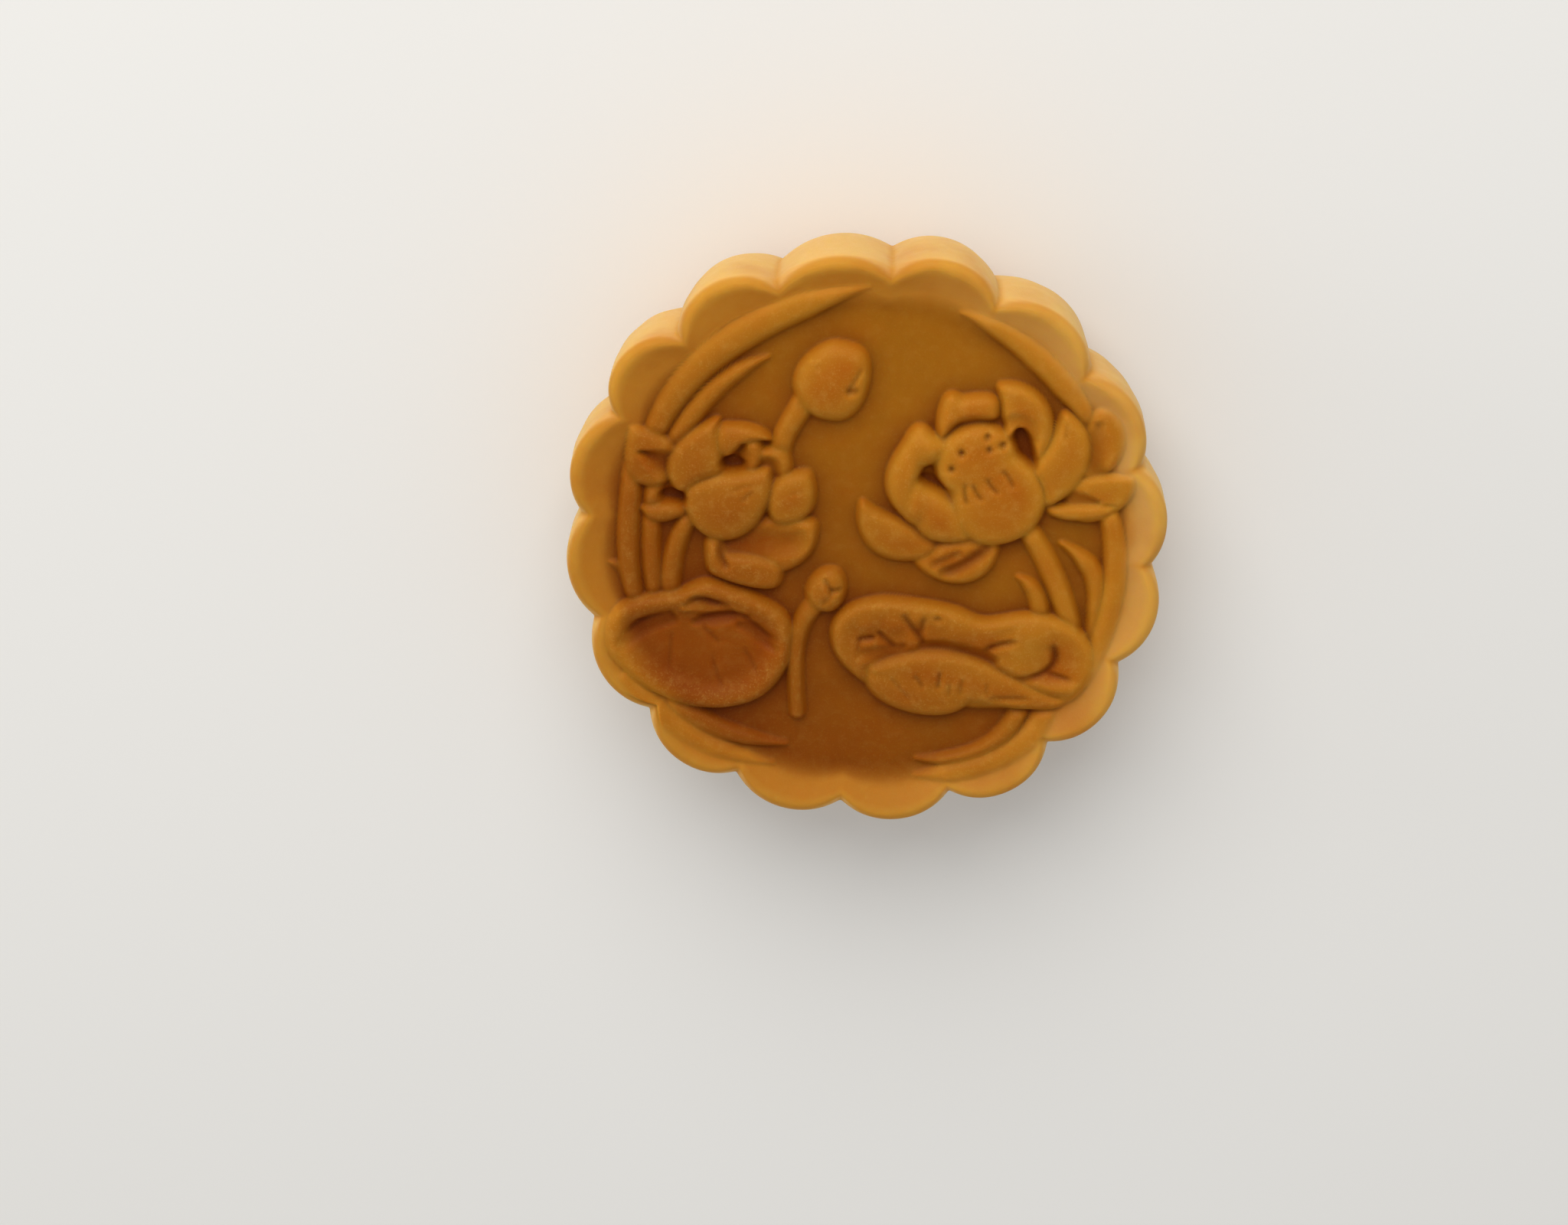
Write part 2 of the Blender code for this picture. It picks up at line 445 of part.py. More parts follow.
# Small bud on its stem, between the leaves
pond.blade((-5.2, -8.7, -7.3, -11.6, -7.5, -14.4, -6.2, -23.0), (2.2, 1.9, 1.6, 1.7), 1.2)
pond.petal(((-4.8, -9.5, -3.2, -4.0, 2.3, 0.45, 0.9, 2.2, 0.4, 0.9),), 1.35, 1.2, 0.45, 0.0, 0.1)
pond.crease((-4.7, -5.1, -4.0, -5.6, -3.3, -6.6, -3.6, -7.3), 0.5, 0.4)
pond.crease((-3.5, -7.0, -3.6, -7.6, -4.1, -8.1, -4.7, -8.4), 0.5, 0.25)
pond.crease((-3.8, -6.7, -3.3, -6.6, -2.9, -6.5, -2.1, -6.3), 0.55, 0.5)

# Top bud on its stem, with a pinch in its side and crumbs of dough
pond.blade((-8.6, 16.4, -9.6, 14.0, -11.0, 12.1, -10.9, 9.7), (2.6, 2.4, 2.3, 2.2), 1.3)
pond.petal(((-6.5, 14.4, -5.7, 23.9, 3.9, 0.45, 1.4, 4.6, 0.55, 0.5),), 1.4, 1.6, 0.7)
pond.crease((-3.9, 17.9, -3.4, 18.9, -2.9, 19.7, -2.3, 21.2), 0.5, 0.35)
pond.crease((-4.0, 18.1, -3.6, 18.2, -3.2, 18.2, -2.4, 18.4), 0.7, 0.5)
for x, y, size, rise in (
    (28.1, 16.6, 0.3, 0.3), (-23.6, 11.3, 0.16, 0.25), (-18.7, 24.9, 0.18, 0.25), (-8.4, 21.4, 0.35, 0.25),
    (-7.5, 21.6, 0.15, 0.3), (-8.4, 20.9, 0.12, -0.2), (-7.4, 20.9, 0.25, -0.15), (-6.1, 21.0, 0.14, 0.15),
    (-7.8, 18.7, 0.14, 0.15), (-9.7, 16.2, 0.25, 0.4),
):
    pond.bump(x, y, size, rise)

# Left flower, from its back petals to the front one
pond.petal(((-11.3, 5.6, -11.7, 10.3, 1.9, 0.6, 0.5, 2.0, 0.5, 0.6),), 1.25, 0.9, 0.0)
pond.hollow((-13.2, 8.0, -12.2, 8.8, -11.4, 8.4, -11.4, 6.6), (1.6, 2.0, 2.0, 1.8), 0.85)
pond.petal(((-24.4, 4.6, -28.6, 11.8, 2.9, 0.35, 1.8, 3.6, 0.4, 1.9),), 1.4, 1.1, 0.3)
pond.hollow((-27.2, 8.6, -25.8, 8.2, -24.8, 7.6, -23.4, 7.0), (0.5, 2.0, 3.2, 3.6), 1.15)
pond.petal(
    (
        (-17.3, 8.5, -11.9, 11.2, 3.7, 0.25, 0.7, -0.8, 0.55, 2.4),
        (-18.3, 8.6, -17.3, 12.6, 1.1, 0.5, 0.9, 1.0, 0.5, 0.9),
    ),
    1.45, 1.0,
)
pond.petal(((-14.4, 6.6, -13.8, 11.0, 1.5, 0.5, 0.7, 0.9, 0.5, 0.8),), 1.25, 0.8, 0.0, 0.3, 0.15)
pond.hollow((-15.6, 7.0, -15.4, 8.4, -15.3, 9.4, -15.4, 10.4), (2.6, 2.6, 2.2, 1.0), 0.7)
pond.petal(((-22.7, 4.0, -18.3, 13.6, 2.8, 0.4, 1.8, 4.0, 0.3, 2.4),), 1.5, 1.2, 0.4)
pond.petal(((-21.3, 1.3, -26.8, 1.8, 1.7, 0.6, 1.8, 1.0, 0.25, 2.1),), 1.2, 0.8, 0.3)
pond.petal(((-18.1, -2.3, -6.0, 1.5, 1.6, 0.45, 1.0, 5.2, 0.55, 1.2),), 1.25, 1.0, 0.1, 0.6)
pond.hollow((-17.6, -1.2, -15.0, -1.8, -12.6, -1.4, -8.6, -0.8), (2.8, 5.0, 5.2, 3.6), 0.75, 0.1)
pond.petal(((-10.8, 1.1, -7.3, 7.8, 3.0, 0.45, 1.5, 2.7, 0.45, 1.6),), 1.45, 1.1, 0.4)
pond.petal(
    (
        (-9.5, -5.5, -18.0, -4.6, 2.2, 0.4, 0.5, 1.9, 0.4, 0.6),
        (-18.0, -1.1, -17.2, -6.0, 1.2, 0.4, 0.6, 1.1, 0.5, 0.6),
    ),
    1.5, 1.2, 0.2, 0.0, 0.1,
)
pond.crease((-17.1, -1.8, -17.2, -3.2, -16.6, -4.2, -15.8, -5.0), 0.7, 0.6)
pond.petal(((-20.0, -0.5, -12.2, 8.0, 4.5, 0.3, 2.1, 4.4, 0.4, 1.2),), 1.7, 1.4, 0.6)
pond.crease((-15.0, 3.7, -14.6, 4.2, -14.2, 4.6, -13.6, 5.2), 0.45, 0.22)
pond.crease((-16.2, 4.8, -15.4, 5.6, -14.6, 5.8, -13.6, 5.8), 0.4, 0.15)
pond.crease((-9.8, 5.0, -9.0, 5.3, -8.2, 5.4, -7.6, 5.8), 0.4, 0.12)
for ends, widths in (
    ((-24.2, 3.3, -23.4, 3.4, -22.8, 3.4, -22.0, 3.0), (1.1, 1.4, 1.5, 1.3)),
    ((-17.3, 7.9, -16.8, 8.1, -16.2, 8.1, -15.4, 8.0), (1.3, 1.7, 1.7, 1.2)),
):
    pond.hollow(ends, widths, 1.6, -0.6)

# Right flower: back petals, then the seed pod, front petal and curled side petal, which run together
pond.petal(((24.6, 9.6, 25.9, 18.8, 1.2, 0.6, 0.6, 3.45, 0.52, 1.1),), 1.4, 1.1, 0.3)
pond.hollow((25.5, 16.6, 25.5, 14.8, 25.6, 13.2, 25.9, 11.4), (1.4, 3.0, 3.4, 2.8), 0.8)
pond.petal(((22.6, 6.8, 30.2, 10.9, 2.4, 0.15, 1.1, 3.8, 0.4, 0.8),), 1.4, 1.0, 0.2, 0.3, 0.1)
pond.hollow((22.0, 7.0, 23.4, 7.2, 24.8, 7.3, 26.6, 7.3), (2.2, 2.6, 2.4, 0.8), 0.75, 0.15)
pond.petal(((20.6, 5.9, 28.9, 7.1, 0.25, 0.6, 1.0, 1.8, 0.5, 0.9),), 1.3, 0.8, 0.2, 0.3, 0.0)
pond.petal(((18.8, 5.5, 21.3, 18.0, 2.0, 0.15, 2.2, 4.8, 0.55, 1.2),), 1.5, 1.1, 0.4, 0.0, 0.2)
pond.crease((21.7, 16.8, 21.8, 16.0, 21.9, 15.4, 21.9, 14.6), 0.45, 0.18)
pond.petal(((17.9, 10.9, 13.3, 20.4, 2.4, 0.1, 2.0, 4.6, 0.5, 1.1),), 1.5, 1.1, 0.3)
pond.hollow((14.6, 15.6, 15.8, 16.6, 17.6, 16.6, 18.2, 14.2), (1.6, 2.6, 2.4, 1.4), 0.6)
pond.scoop((18.2, 9.6, 16.3, 15.6, 1.5, 0.5, 0.9, 1.5, 0.5, 0.8), -0.6, 0.7)
pond.petal(
    (
        (8.0, 12.6, 8.4, 18.9, 1.2, 0.5, 0.6, 1.6, 0.5, 0.9),
        (7.6, 16.2, 13.9, 16.7, 2.5, 0.7, 0.6, 1.8, 0.5, 0.8),
    ),
    1.45, 1.2,
)
pond.hollow((8.6, 12.6, 8.9, 14.9, 10.6, 15.6, 13.8, 15.4), (1.8, 2.6, 2.8, 2.2), 1.2)
pond.petal(((6.0, -2.3, 15.4, 1.4, 1.7, 0.4, 0.9, 4.3, 0.55, 1.3),), 1.2, 1.0)
pond.crease((8.8, -3.2, 11.0, -2.9, 12.4, -1.4, 14.8, 0.7), 1.2, 0.75)
pond.crease((7.6, -2.4, 9.2, -1.9, 10.2, -1.0, 11.6, -0.3), 0.9, 0.45)
pond.petal(((7.6, -1.4, -1.0, 5.0, 3.9, 0.5, 1.5, 2.3, 0.15, 2.4),), 1.2, 1.2, 0.3, 0.2)
pond.petal(
    (
        (19.7, 3.6, 9.7, 8.0, 5.2, 0.5, 1.3, 6.3, 0.55, 0.7),
        (7.3, 9.8, 16.6, 10.9, 5.1, 0.55, 0.8, 3.8, 0.5, 0.8),
        (11.9, 1.0, 4.8, 7.4, 3.4, 0.45, 2.4, 2.0, 0.5, 1.7),
        (5.2, 2.9, 4.5, 14.6, 3.2, 0.4, 2.0, 1.5, 0.9, 2.4),
        (4.4, 11.2, 8.4, 12.8, 2.6, 0.25, 1.2, 1.9, 0.3, 1.2),
        (5.6, 2.6, 5.2, 7.7, 1.4, 0.5, 0.9, 1.4, 0.5, 0.9),
    ),
    1.7, 1.4, 0.6,
)
pond.hollow((5.6, 8.3, 6.8, 8.2, 7.4, 8.0, 8.8, 6.9), (0.8, 1.5, 1.2, 0.4), 0.8, -0.4)
for x, y, size, depth in (
    (9.1, 10.0, 0.4, 0.7), (10.05, 12.1, 0.42, 0.8), (12.85, 14.3, 0.38, 0.8), (13.2, 12.8, 0.38, 0.7),
    (14.7, 13.4, 0.42, 0.8),
):
    pond.bump(x, y, size, -depth)
for ends in (
    (10.9, 8.6, 10.7, 7.6, 11.0, 6.6, 11.4, 5.7),
    (11.7, 8.6, 11.9, 7.7, 12.4, 7.2, 13.2, 6.4),
    (13.3, 9.5, 13.5, 8.7, 14.0, 8.1, 15.0, 7.5),
    (14.8, 10.4, 15.6, 10.0, 16.1, 9.3, 16.6, 8.2),
):
    pond.crease(ends, 0.5, 0.4)

relief = blurred(pond.height, BAKED_SOFTNESS)
wall_levels = (0.2, 0.4, 0.6, 0.8, 1.0, 1.35, 1.7, 2.0, 2.15, 2.3, 2.45, 2.6, 2.72, 2.83, 2.92, 3.0)
points, squares, fan = build_cake(FACE_GRID, wall_levels, (0.97, 0.85, 0.55, 0.25), relief)

fine = bpy.data.meshes.new("mooncake_fine")
fine.from_pydata((points / 1000.0).tolist(), [], squares.tolist() + fan.tolist())
cake = bpy.data.objects.new("mooncake", fine)
bpy.context.scene.collection.objects.link(cake)

# The grid is thinned where the cake is smooth, and keeps its triangles for the edges of the relief
thin = cake.modifiers.new("thin", "DECIMATE")
thin.ratio = TRIANGLES / (2 * len(squares) + len(fan))
graph = bpy.context.evaluated_depsgraph_get()
solid = bpy.data.meshes.new_from_object(cake.evaluated_get(graph))
solid.name = "mooncake"
cake.modifiers.clear()
cake.data = solid
bpy.data.meshes.remove(fine)
places = np.empty(len(solid.vertices) * 3, np.float32)
solid.vertices.foreach_get("co", places)
places = places.reshape(-1, 3)
places[places[:, 2] < 0.00002, 2] = 0.0
middle = 0.5 * (places.max(0) + places.min(0))
places[:, :2] -= middle[:2]
solid.vertices.foreach_set("co", places.ravel())
solid.update()

crust = bpy.data.materials.new("mooncake_crust")
crust.use_nodes = True
shader = crust.node_tree.nodes["Principled BSDF"]
shader.inputs["Base Color"].default_value = (0.55, 0.25, 0.06, 1.0)
shader.inputs["Roughness"].default_value = 0.5
shader.inputs["Subsurface Weight"].default_value = 0.2
shader.inputs["Subsurface Scale"].default_value = 0.002
solid.materials.clear()
solid.materials.append(crust)
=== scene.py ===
import bpy
import numpy as np
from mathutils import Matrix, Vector


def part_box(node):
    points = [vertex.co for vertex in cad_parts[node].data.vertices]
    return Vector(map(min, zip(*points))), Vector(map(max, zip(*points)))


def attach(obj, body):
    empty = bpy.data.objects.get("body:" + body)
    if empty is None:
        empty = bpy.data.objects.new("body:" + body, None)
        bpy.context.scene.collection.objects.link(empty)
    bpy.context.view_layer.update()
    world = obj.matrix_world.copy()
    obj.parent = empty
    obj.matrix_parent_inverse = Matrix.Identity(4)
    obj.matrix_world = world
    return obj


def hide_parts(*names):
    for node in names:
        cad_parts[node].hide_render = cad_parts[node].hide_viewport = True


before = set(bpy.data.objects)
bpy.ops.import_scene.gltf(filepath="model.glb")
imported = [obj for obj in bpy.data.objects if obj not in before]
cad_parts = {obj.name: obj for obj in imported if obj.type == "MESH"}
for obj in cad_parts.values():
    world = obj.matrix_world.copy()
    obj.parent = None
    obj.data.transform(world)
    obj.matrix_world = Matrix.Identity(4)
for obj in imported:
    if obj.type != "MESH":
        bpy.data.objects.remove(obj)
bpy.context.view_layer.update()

# The body. A ball of firm sweet paste wrapped in thin golden dough, pressed as one in a round mould with
# sixteen scallops, knocked out and baked. It is uncut, so crust and filling are one closed piece. The mould
# leaves a raised rim round a flat face; the free lower edge slumps round in to the base.
# Sizes are in millimetres from the middle of the base, angles in degrees anticlockwise from +X.
MM = 0.001
LOBES = 16
LOBE_RADIUS = 35.9
NOTCH_RADIUS = 33.7
NOTCH_ROUNDING = 0.12
FIRST_NOTCH = 90.0
RIM_HEIGHT = 21.7
GROUND_HEIGHT = 19.7
GROUND_RADIUS = 29.0
RIM_ROUNDING = 0.5
TOP_ROUND_AT_LOBE = 1.1
TOP_ROUND_AT_NOTCH = 1.3
NOTCH_DIP = 0.7
BASE_ROUND_HIGH = 16.7
BASE_ROUND_DEEP = 6.8
LOBE_FADE_AT_BASE = 0.25
SHOULDER_PER_INWARD = 1.15
DIP_SHARPNESS = 1.6

# The lobes are not all alike. These say how far each notch stands from an even spacing, in degrees, and how
# far each lobe stands from the usual radius, in millimetres. Both go clockwise from the first notch. The
# eighth to the eleventh are a guess, because the half cake in the photograph hides them.
NOTCH_DRIFT = (-0.1, 0.7, -0.3, -0.1, 1.0, 1.2, 1.0, 0.3, 0.0, -0.2, -0.6, -1.2, -1.6, -1.6, 0.1, 0.4)
LOBE_DRIFT = (0.25, 0.2, -0.15, -0.4, -0.25, 0.1, 0.45, 0.1, -0.1, 0.1, -0.1, -0.4, 0.1, 0.7, 0.7, -0.35)

# The rim's crest rises and falls a little round the cake: how high, how many times round, where it starts
RIM_WAVES = ((0.12, 1, 0.6), (0.1, 2, 1.9), (0.06, 5, 0.4))

# The wall is uneven too: how far, how many times round, how it shifts with the height, where it starts
WALL_WAVES = ((0.1, 3, 0.35, 0.0), (0.08, 7, -0.5, 1.0))


def outline_radius(angle):
    """Radius of the scalloped outline at these angles: between two notches, an arc of a circle that passes
    through both and bulges out to the lobe's own radius. The bottom of each notch is rounded."""
    step = 360.0 / LOBES
    notches = np.array([FIRST_NOTCH - step * k + NOTCH_DRIFT[k] for k in range(LOBES)])
    turn = np.mod(notches[0] - np.degrees(angle), 360.0)
    ends = np.append(notches[0] - notches, 360.0)
    k = np.clip(np.searchsorted(ends, turn, side="right") - 1, 0, LOBES - 1)
    half = np.radians(ends[k + 1] - ends[k]) / 2
    off = np.radians(turn - ends[k]) - half
    tip = LOBE_RADIUS + np.array(LOBE_DRIFT)[k]
    centre = (tip**2 - NOTCH_RADIUS**2) / (2 * (tip - NOTCH_RADIUS * np.cos(half)))
    arc = tip - centre
    radius = centre * np.cos(off) + np.sqrt(arc**2 - (centre * np.sin(off)) ** 2)
    return NOTCH_RADIUS + np.hypot(radius - NOTCH_RADIUS, NOTCH_ROUNDING)


def rim_of(angle):
    """Radius and height of the rim's crest, and how far the wall's top rounding reaches in. All three go
    from their value in a notch to their value at a lobe with the lobe's share of its full bulge."""
    share = np.clip((outline_radius(angle) - NOTCH_RADIUS) / (LOBE_RADIUS - NOTCH_RADIUS), 0, 1)
    inward = TOP_ROUND_AT_NOTCH + (TOP_ROUND_AT_LOBE - TOP_ROUND_AT_NOTCH) * share
    uneven = sum(rise * np.sin(waves * angle + start) for rise, waves, start in RIM_WAVES)
    height = RIM_HEIGHT - NOTCH_DIP * (1 - share) ** DIP_SHARPNESS + uneven
    return outline_radius(angle) - inward, height, inward


def wall_ring(angle, down):
    """Points of the wall at one level. Down runs from 0 at the crest, through 1 where the top rounding ends
    and 2 where the base rounding starts, to 3 at the edge of the flat base. Both roundings are quarters of
    an ellipse, and the lobes grow shallower towards the base."""
    crest, height, inward = rim_of(angle)
    outer = outline_radius(angle)
    mean = 0.5 * (LOBE_RADIUS + NOTCH_RADIUS)
    shoulder = height - SHOULDER_PER_INWARD * inward
    if down < 1:
        a = 0.5 * np.pi * down
        radius = outer - inward * (1 - np.sin(a))
        z = height - SHOULDER_PER_INWARD * inward * (1 - np.cos(a))
    elif down < 2:
        radius, z = outer, shoulder + (BASE_ROUND_HIGH - shoulder) * (down - 1)
    else:
        a = 0.5 * np.pi * (down - 2)
        low = np.sin(a)
        lobed = mean + (outer - mean) * (1 - LOBE_FADE_AT_BASE * low**2)
        radius = lobed - BASE_ROUND_DEEP * (1 - np.cos(a))
        z = np.full(angle.shape, BASE_ROUND_HIGH * (1 - low))
    bulge = np.sin(np.pi * np.clip(z / height, 0, 1))
    uneven = sum(
        far * np.sin(waves * angle + shift * z + start) for far, waves, shift, start in WALL_WAVES
    )
    radius = radius + bulge * uneven
    return np.stack([radius * np.cos(angle), radius * np.sin(angle), z], 1)


# The pond. The mould's floor is carved with a traditional lotus pond: two open flowers, two buds, two leaves
# and grass along the rim. The dough takes the carving as soft relief, and baking rounds its edges.
# Heights are in millimetres above the flat ground of the face. Places are measured from a point that lies
# CARVING_UP towards +Y from the middle of the cake.
CARVING_STEP = 0.1
CARVING_HALF = 36.5
CARVING_UP = 0.7
PETAL_CORNER = 0.35
FOOT = 0.15
JOIN_SHARPNESS = 3.0
WINDOW_MARGIN = 1.2
TUCK = 0.3
TUCK_WIDTH = 0.45
PETAL_COVERS_OVER = 1.2
BLADE_COVERS_OVER = 0.6
INNER_FULL_AT = 3.0
LEAF_EDGE = 1.2
LEAF_ROLL_INSET = 1.2
LEAST_HALF_WIDTH = 0.02
HOLLOW_SPREAD = 1.15
CREASE_RUN_OUT = 0.22
CREASE_BELL = 0.6
BAKED_SOFTNESS = 0.16

# How many points the curves are drawn with: each side of a petal, an outline once it is rounded, from one
# corner of a leaf to the next, and a stem or a fold from end to end
PETAL_SIDE_POINTS = 33
ROUNDED_POINTS = 64
LEAF_STEPS = 6
CURVE_POINTS = 36


def petal_outline(base_x, base_y, tip_x, tip_y, left, left_at, left_bow, right, right_at, right_bow):
    """Closed outline of a petal. Along the line from base to tip, each side stands off by its bulge times
    ((u / at) ** at * ((1 - u) / (1 - at)) ** (1 - at)) ** bow, which is 1 at u = at and 0 at both ends: a
    high bow draws the ends out. The corners are then rounded, by leaving out the outline's quick turns."""
    u = np.clip(0.5 - 0.5 * np.cos(np.linspace(0.0, np.pi, PETAL_SIDE_POINTS)), 1e-9, 1.0 - 1e-9)
    along = np.array([tip_x - base_x, tip_y - base_y])
    across = np.array([-along[1], along[0]]) / np.hypot(*along)
    middle = np.array([base_x, base_y]) + np.outer(u, along)
    sides = []
    for bulge, at, bow in ((left, left_at, left_bow), (-right, right_at, right_bow)):
        off = bulge * ((u / at) ** at * ((1 - u) / (1 - at)) ** (1 - at)) ** bow
        sides.append(middle + np.outer(off, across))
    return rounded(np.vstack([sides[0], sides[1][::-1][1:-1]]), PETAL_CORNER)


def rounded(outline, softness):
    """A closed outline with its corners rounded: its points are spaced evenly, and each wave of the curve
    along it is weakened by exp(-0.5 * (2 pi * softness / wavelength) ** 2)."""
    closed = np.vstack([outline, outline[:1]])
    run = np.concatenate([[0.0], np.cumsum(np.hypot(*np.diff(closed, axis=0).T))])
    even = np.linspace(0.0, run[-1], ROUNDED_POINTS + 1)[:-1]
    curve = np.interp(even, run, closed[:, 0]) + 1j * np.interp(even, run, closed[:, 1])
    waves = np.fft.fftfreq(len(even), run[-1] / len(even))
    curve = np.fft.ifft(np.fft.fft(curve) * np.exp(-0.5 * (2 * np.pi * softness * waves) ** 2))
    return np.stack([curve.real, curve.imag], 1)


def leaf_outline(corners):
    """Closed outline of a lotus leaf: the smooth curve that runs through its corners, each stretch a cubic
    whose slope at a corner is half of the way from the corner before to the corner after."""
    p = np.array(corners, float)
    before, after, next_after = np.roll(p, 1, 0), np.roll(p, -1, 0), np.roll(p, -2, 0)
    t = np.arange(LEAF_STEPS)[:, None, None] / LEAF_STEPS
    points = (
        (1 + 2 * t) * (1 - t) ** 2 * p + t**2 * (3 - 2 * t) * after
        + t * (1 - t) ** 2 * 0.5 * (after - before) - t**2 * (1 - t) * 0.5 * (next_after - p)
    )
    return points.transpose(1, 0, 2).reshape(-1, 2)


class Carving:
    """Heights on a square raster over the face. Each shape is pressed over those that came before."""

    def __init__(self):
        self.axis = np.arange(-CARVING_HALF, CARVING_HALF + CARVING_STEP / 2, CARVING_STEP)
        self.height = np.zeros((len(self.axis), len(self.axis)))
        self.inner = np.zeros_like(self.height)
        self.folds = np.zeros_like(self.height)

    def window(self, low, high):
        """The part of the raster between two corners, with the x and y of its points."""
        x0, y0 = np.maximum(np.floor((low + CARVING_HALF) / CARVING_STEP).astype(int), 0)
        x1, y1 = np.ceil((high + CARVING_HALF) / CARVING_STEP).astype(int) + 1
        part = (slice(y0, y1), slice(x0, x1))
        return part, *np.meshgrid(self.axis[part[1]], self.axis[part[0]])

    def inside(self, outlines):
        """The window around some outlines, with each point's distance to the edge of the shape that they
        make together: positive inside. For one outline the distance is the least over its sides, and a
        point is inside when a ray from it crosses an odd number of them. Outlines join in a rounded corner,
        with s for JOIN_SHARPNESS: the shape's distance is log(sum(exp(s * distance))) / s. Its foot spreads
        by FOOT."""
        every = np.vstack(outlines)
        part, x, y = self.window(every.min(0) - WINDOW_MARGIN, every.max(0) + WINDOW_MARGIN)
        joined = np.zeros(x.shape)
        for outline in outlines:
            side = np.roll(outline, -1, 0) - outline
            dx, dy = x[..., None] - outline[:, 0], y[..., None] - outline[:, 1]
            t = np.clip((dx * side[:, 0] + dy * side[:, 1]) / np.sum(side**2, 1), 0, 1)
            away = np.sqrt(((dx - t * side[:, 0]) ** 2 + (dy - t * side[:, 1]) ** 2).min(-1))
            spans = (dy < 0) != (dy < side[:, 1])
            slope = side[:, 0] / np.where(side[:, 1] == 0, 1e-9, side[:, 1])
            crossed = np.sum(spans & (dx < slope * dy), -1) % 2
            joined += np.exp(JOIN_SHARPNESS * np.where(crossed, away, -away))
        return part, x, y, np.log(joined) / JOIN_SHARPNESS + FOOT

    def along(self, ends, widths, spread=1.0):
        """The window around the cubic curve with these four control points. For each point: how far along
        the curve its nearest place is, from 0 to 1, its distance to it, and the half width there."""
        p = np.array(ends, float).reshape(4, 2)
        t = np.linspace(0.0, 1.0, CURVE_POINTS)
        s = t[:, None]
        points = (1 - s) ** 3 * p[0] + 3 * s * (1 - s) ** 2 * p[1] + 3 * s**2 * (1 - s) * p[2] + s**3 * p[3]
        reach = max(widths) * 0.5 * spread + WINDOW_MARGIN
        part, x, y = self.window(points.min(0) - reach, points.max(0) + reach)
        start, side = points[:-1], np.diff(points, axis=0)
        dx, dy = x[..., None] - start[:, 0], y[..., None] - start[:, 1]
        share = np.clip((dx * side[:, 0] + dy * side[:, 1]) / np.sum(side**2, 1), 0, 1)
        away = (dx - share * side[:, 0]) ** 2 + (dy - share * side[:, 1]) ** 2
        nearest = away.argmin(-1)[..., None]
        at = (t[nearest] + np.take_along_axis(share, nearest, -1) * t[1])[..., 0]
        off = np.sqrt(np.take_along_axis(away, nearest, -1)[..., 0])
        half = 0.5 * np.interp(at, np.linspace(0, 1, len(widths)), widths)
        return part, at, off, np.maximum(half, LEAST_HALF_WIDTH)

    def press(self, part, depth_in, own, edge, tuck):
        """Presses a shape of height own over what is there. What lies behind is pushed down by tuck, times
        a bell that fades out over TUCK_WIDTH from the shape's edge, and it ends under the shape, edge
        inwards. How far in a place lies, for the colour, is full at INNER_FULL_AT from the edge."""
        behind = self.height[part]
        bell = np.exp(-((np.minimum(depth_in, 0) / TUCK_WIDTH) ** 2))
        pushed = behind - tuck * bell * np.clip(behind, 0, 1)
        under = pushed * np.clip(1 - depth_in / edge, 0, 1)
        self.height[part] = np.where(depth_in > 0, np.maximum(own, under), pushed)
        own_inner = np.clip(depth_in / INNER_FULL_AT, 0, 1)
        self.inner[part] = np.where(depth_in > 0, own_inner, self.inner[part])
        self.folds[part] = np.where(depth_in > 0, 0, self.folds[part])

    def petal(self, shapes, rise, edge, crown=0.3, tilt=0.0, tuck=TUCK):
        """A pillow, made of one petal outline or of several that run together. Its shoulders are quarters
        of an ellipse, edge wide and rise high. On them lies a dome for each outline, crown high: the
        ellipse that spreads as wide as the outline does. Tilt is how much higher the first tip is than its
        base."""
        outlines = [petal_outline(*shape) for shape in shapes]
        part, x, y, d = self.inside(outlines)
        base, tip = np.array(shapes[0][:2]), np.array(shapes[0][2:4])
        along = (tip - base) / np.sum((tip - base) ** 2)
        u = (x - base[0]) * along[0] + (y - base[1]) * along[1] - 0.5
        shoulder = np.sqrt(np.clip(1 - (1 - np.clip(d / edge, 0, 1)) ** 2, 0, 1))
        flat = np.ones(x.shape)
        for outline in outlines:
            off = np.stack([x, y], -1) - outline.mean(0)
            spread = np.linalg.inv(np.cov(outline.T))
            flat *= 1 - np.clip(1 - 0.5 * np.einsum("...i,ij,...j", off, spread, off), 0, 1) ** 1.5
        own = shoulder * (rise + tilt * u + crown * (1 - flat))
        self.press(part, d, own, min(edge, PETAL_COVERS_OVER), tuck)

    def leaf(self, corners, rim, middle, rim_width):
        """A lotus leaf: a rolled rim, a bell rim_width wide, around a lower middle."""
        part, _, _, d = self.inside([leaf_outline(corners)])
        shoulder = np.sqrt(np.clip(1 - (1 - np.clip(d / LEAF_EDGE, 0, 1)) ** 2, 0, 1))
        roll = np.exp(-((np.maximum(d - LEAF_ROLL_INSET, 0) / rim_width) ** 2))
        self.press(part, d, shoulder * (middle + (rim - middle) * roll), LEAF_EDGE, TUCK)

    def blade(self, ends, widths, rise):
        """A stem or a blade of grass: a rounded band along a curve, as wide as the widths say along it."""
        part, _, off, half = self.along(ends, widths)
        half = half + FOOT
        share = np.clip(off / half, 0, 1)
        own = np.minimum(rise, 0.95 * half + 0.25 * rise) * np.clip(1 - share**2.4, 0, 1) ** 0.55
        self.press(part, half - off, own, BLADE_COVERS_OVER, TUCK)

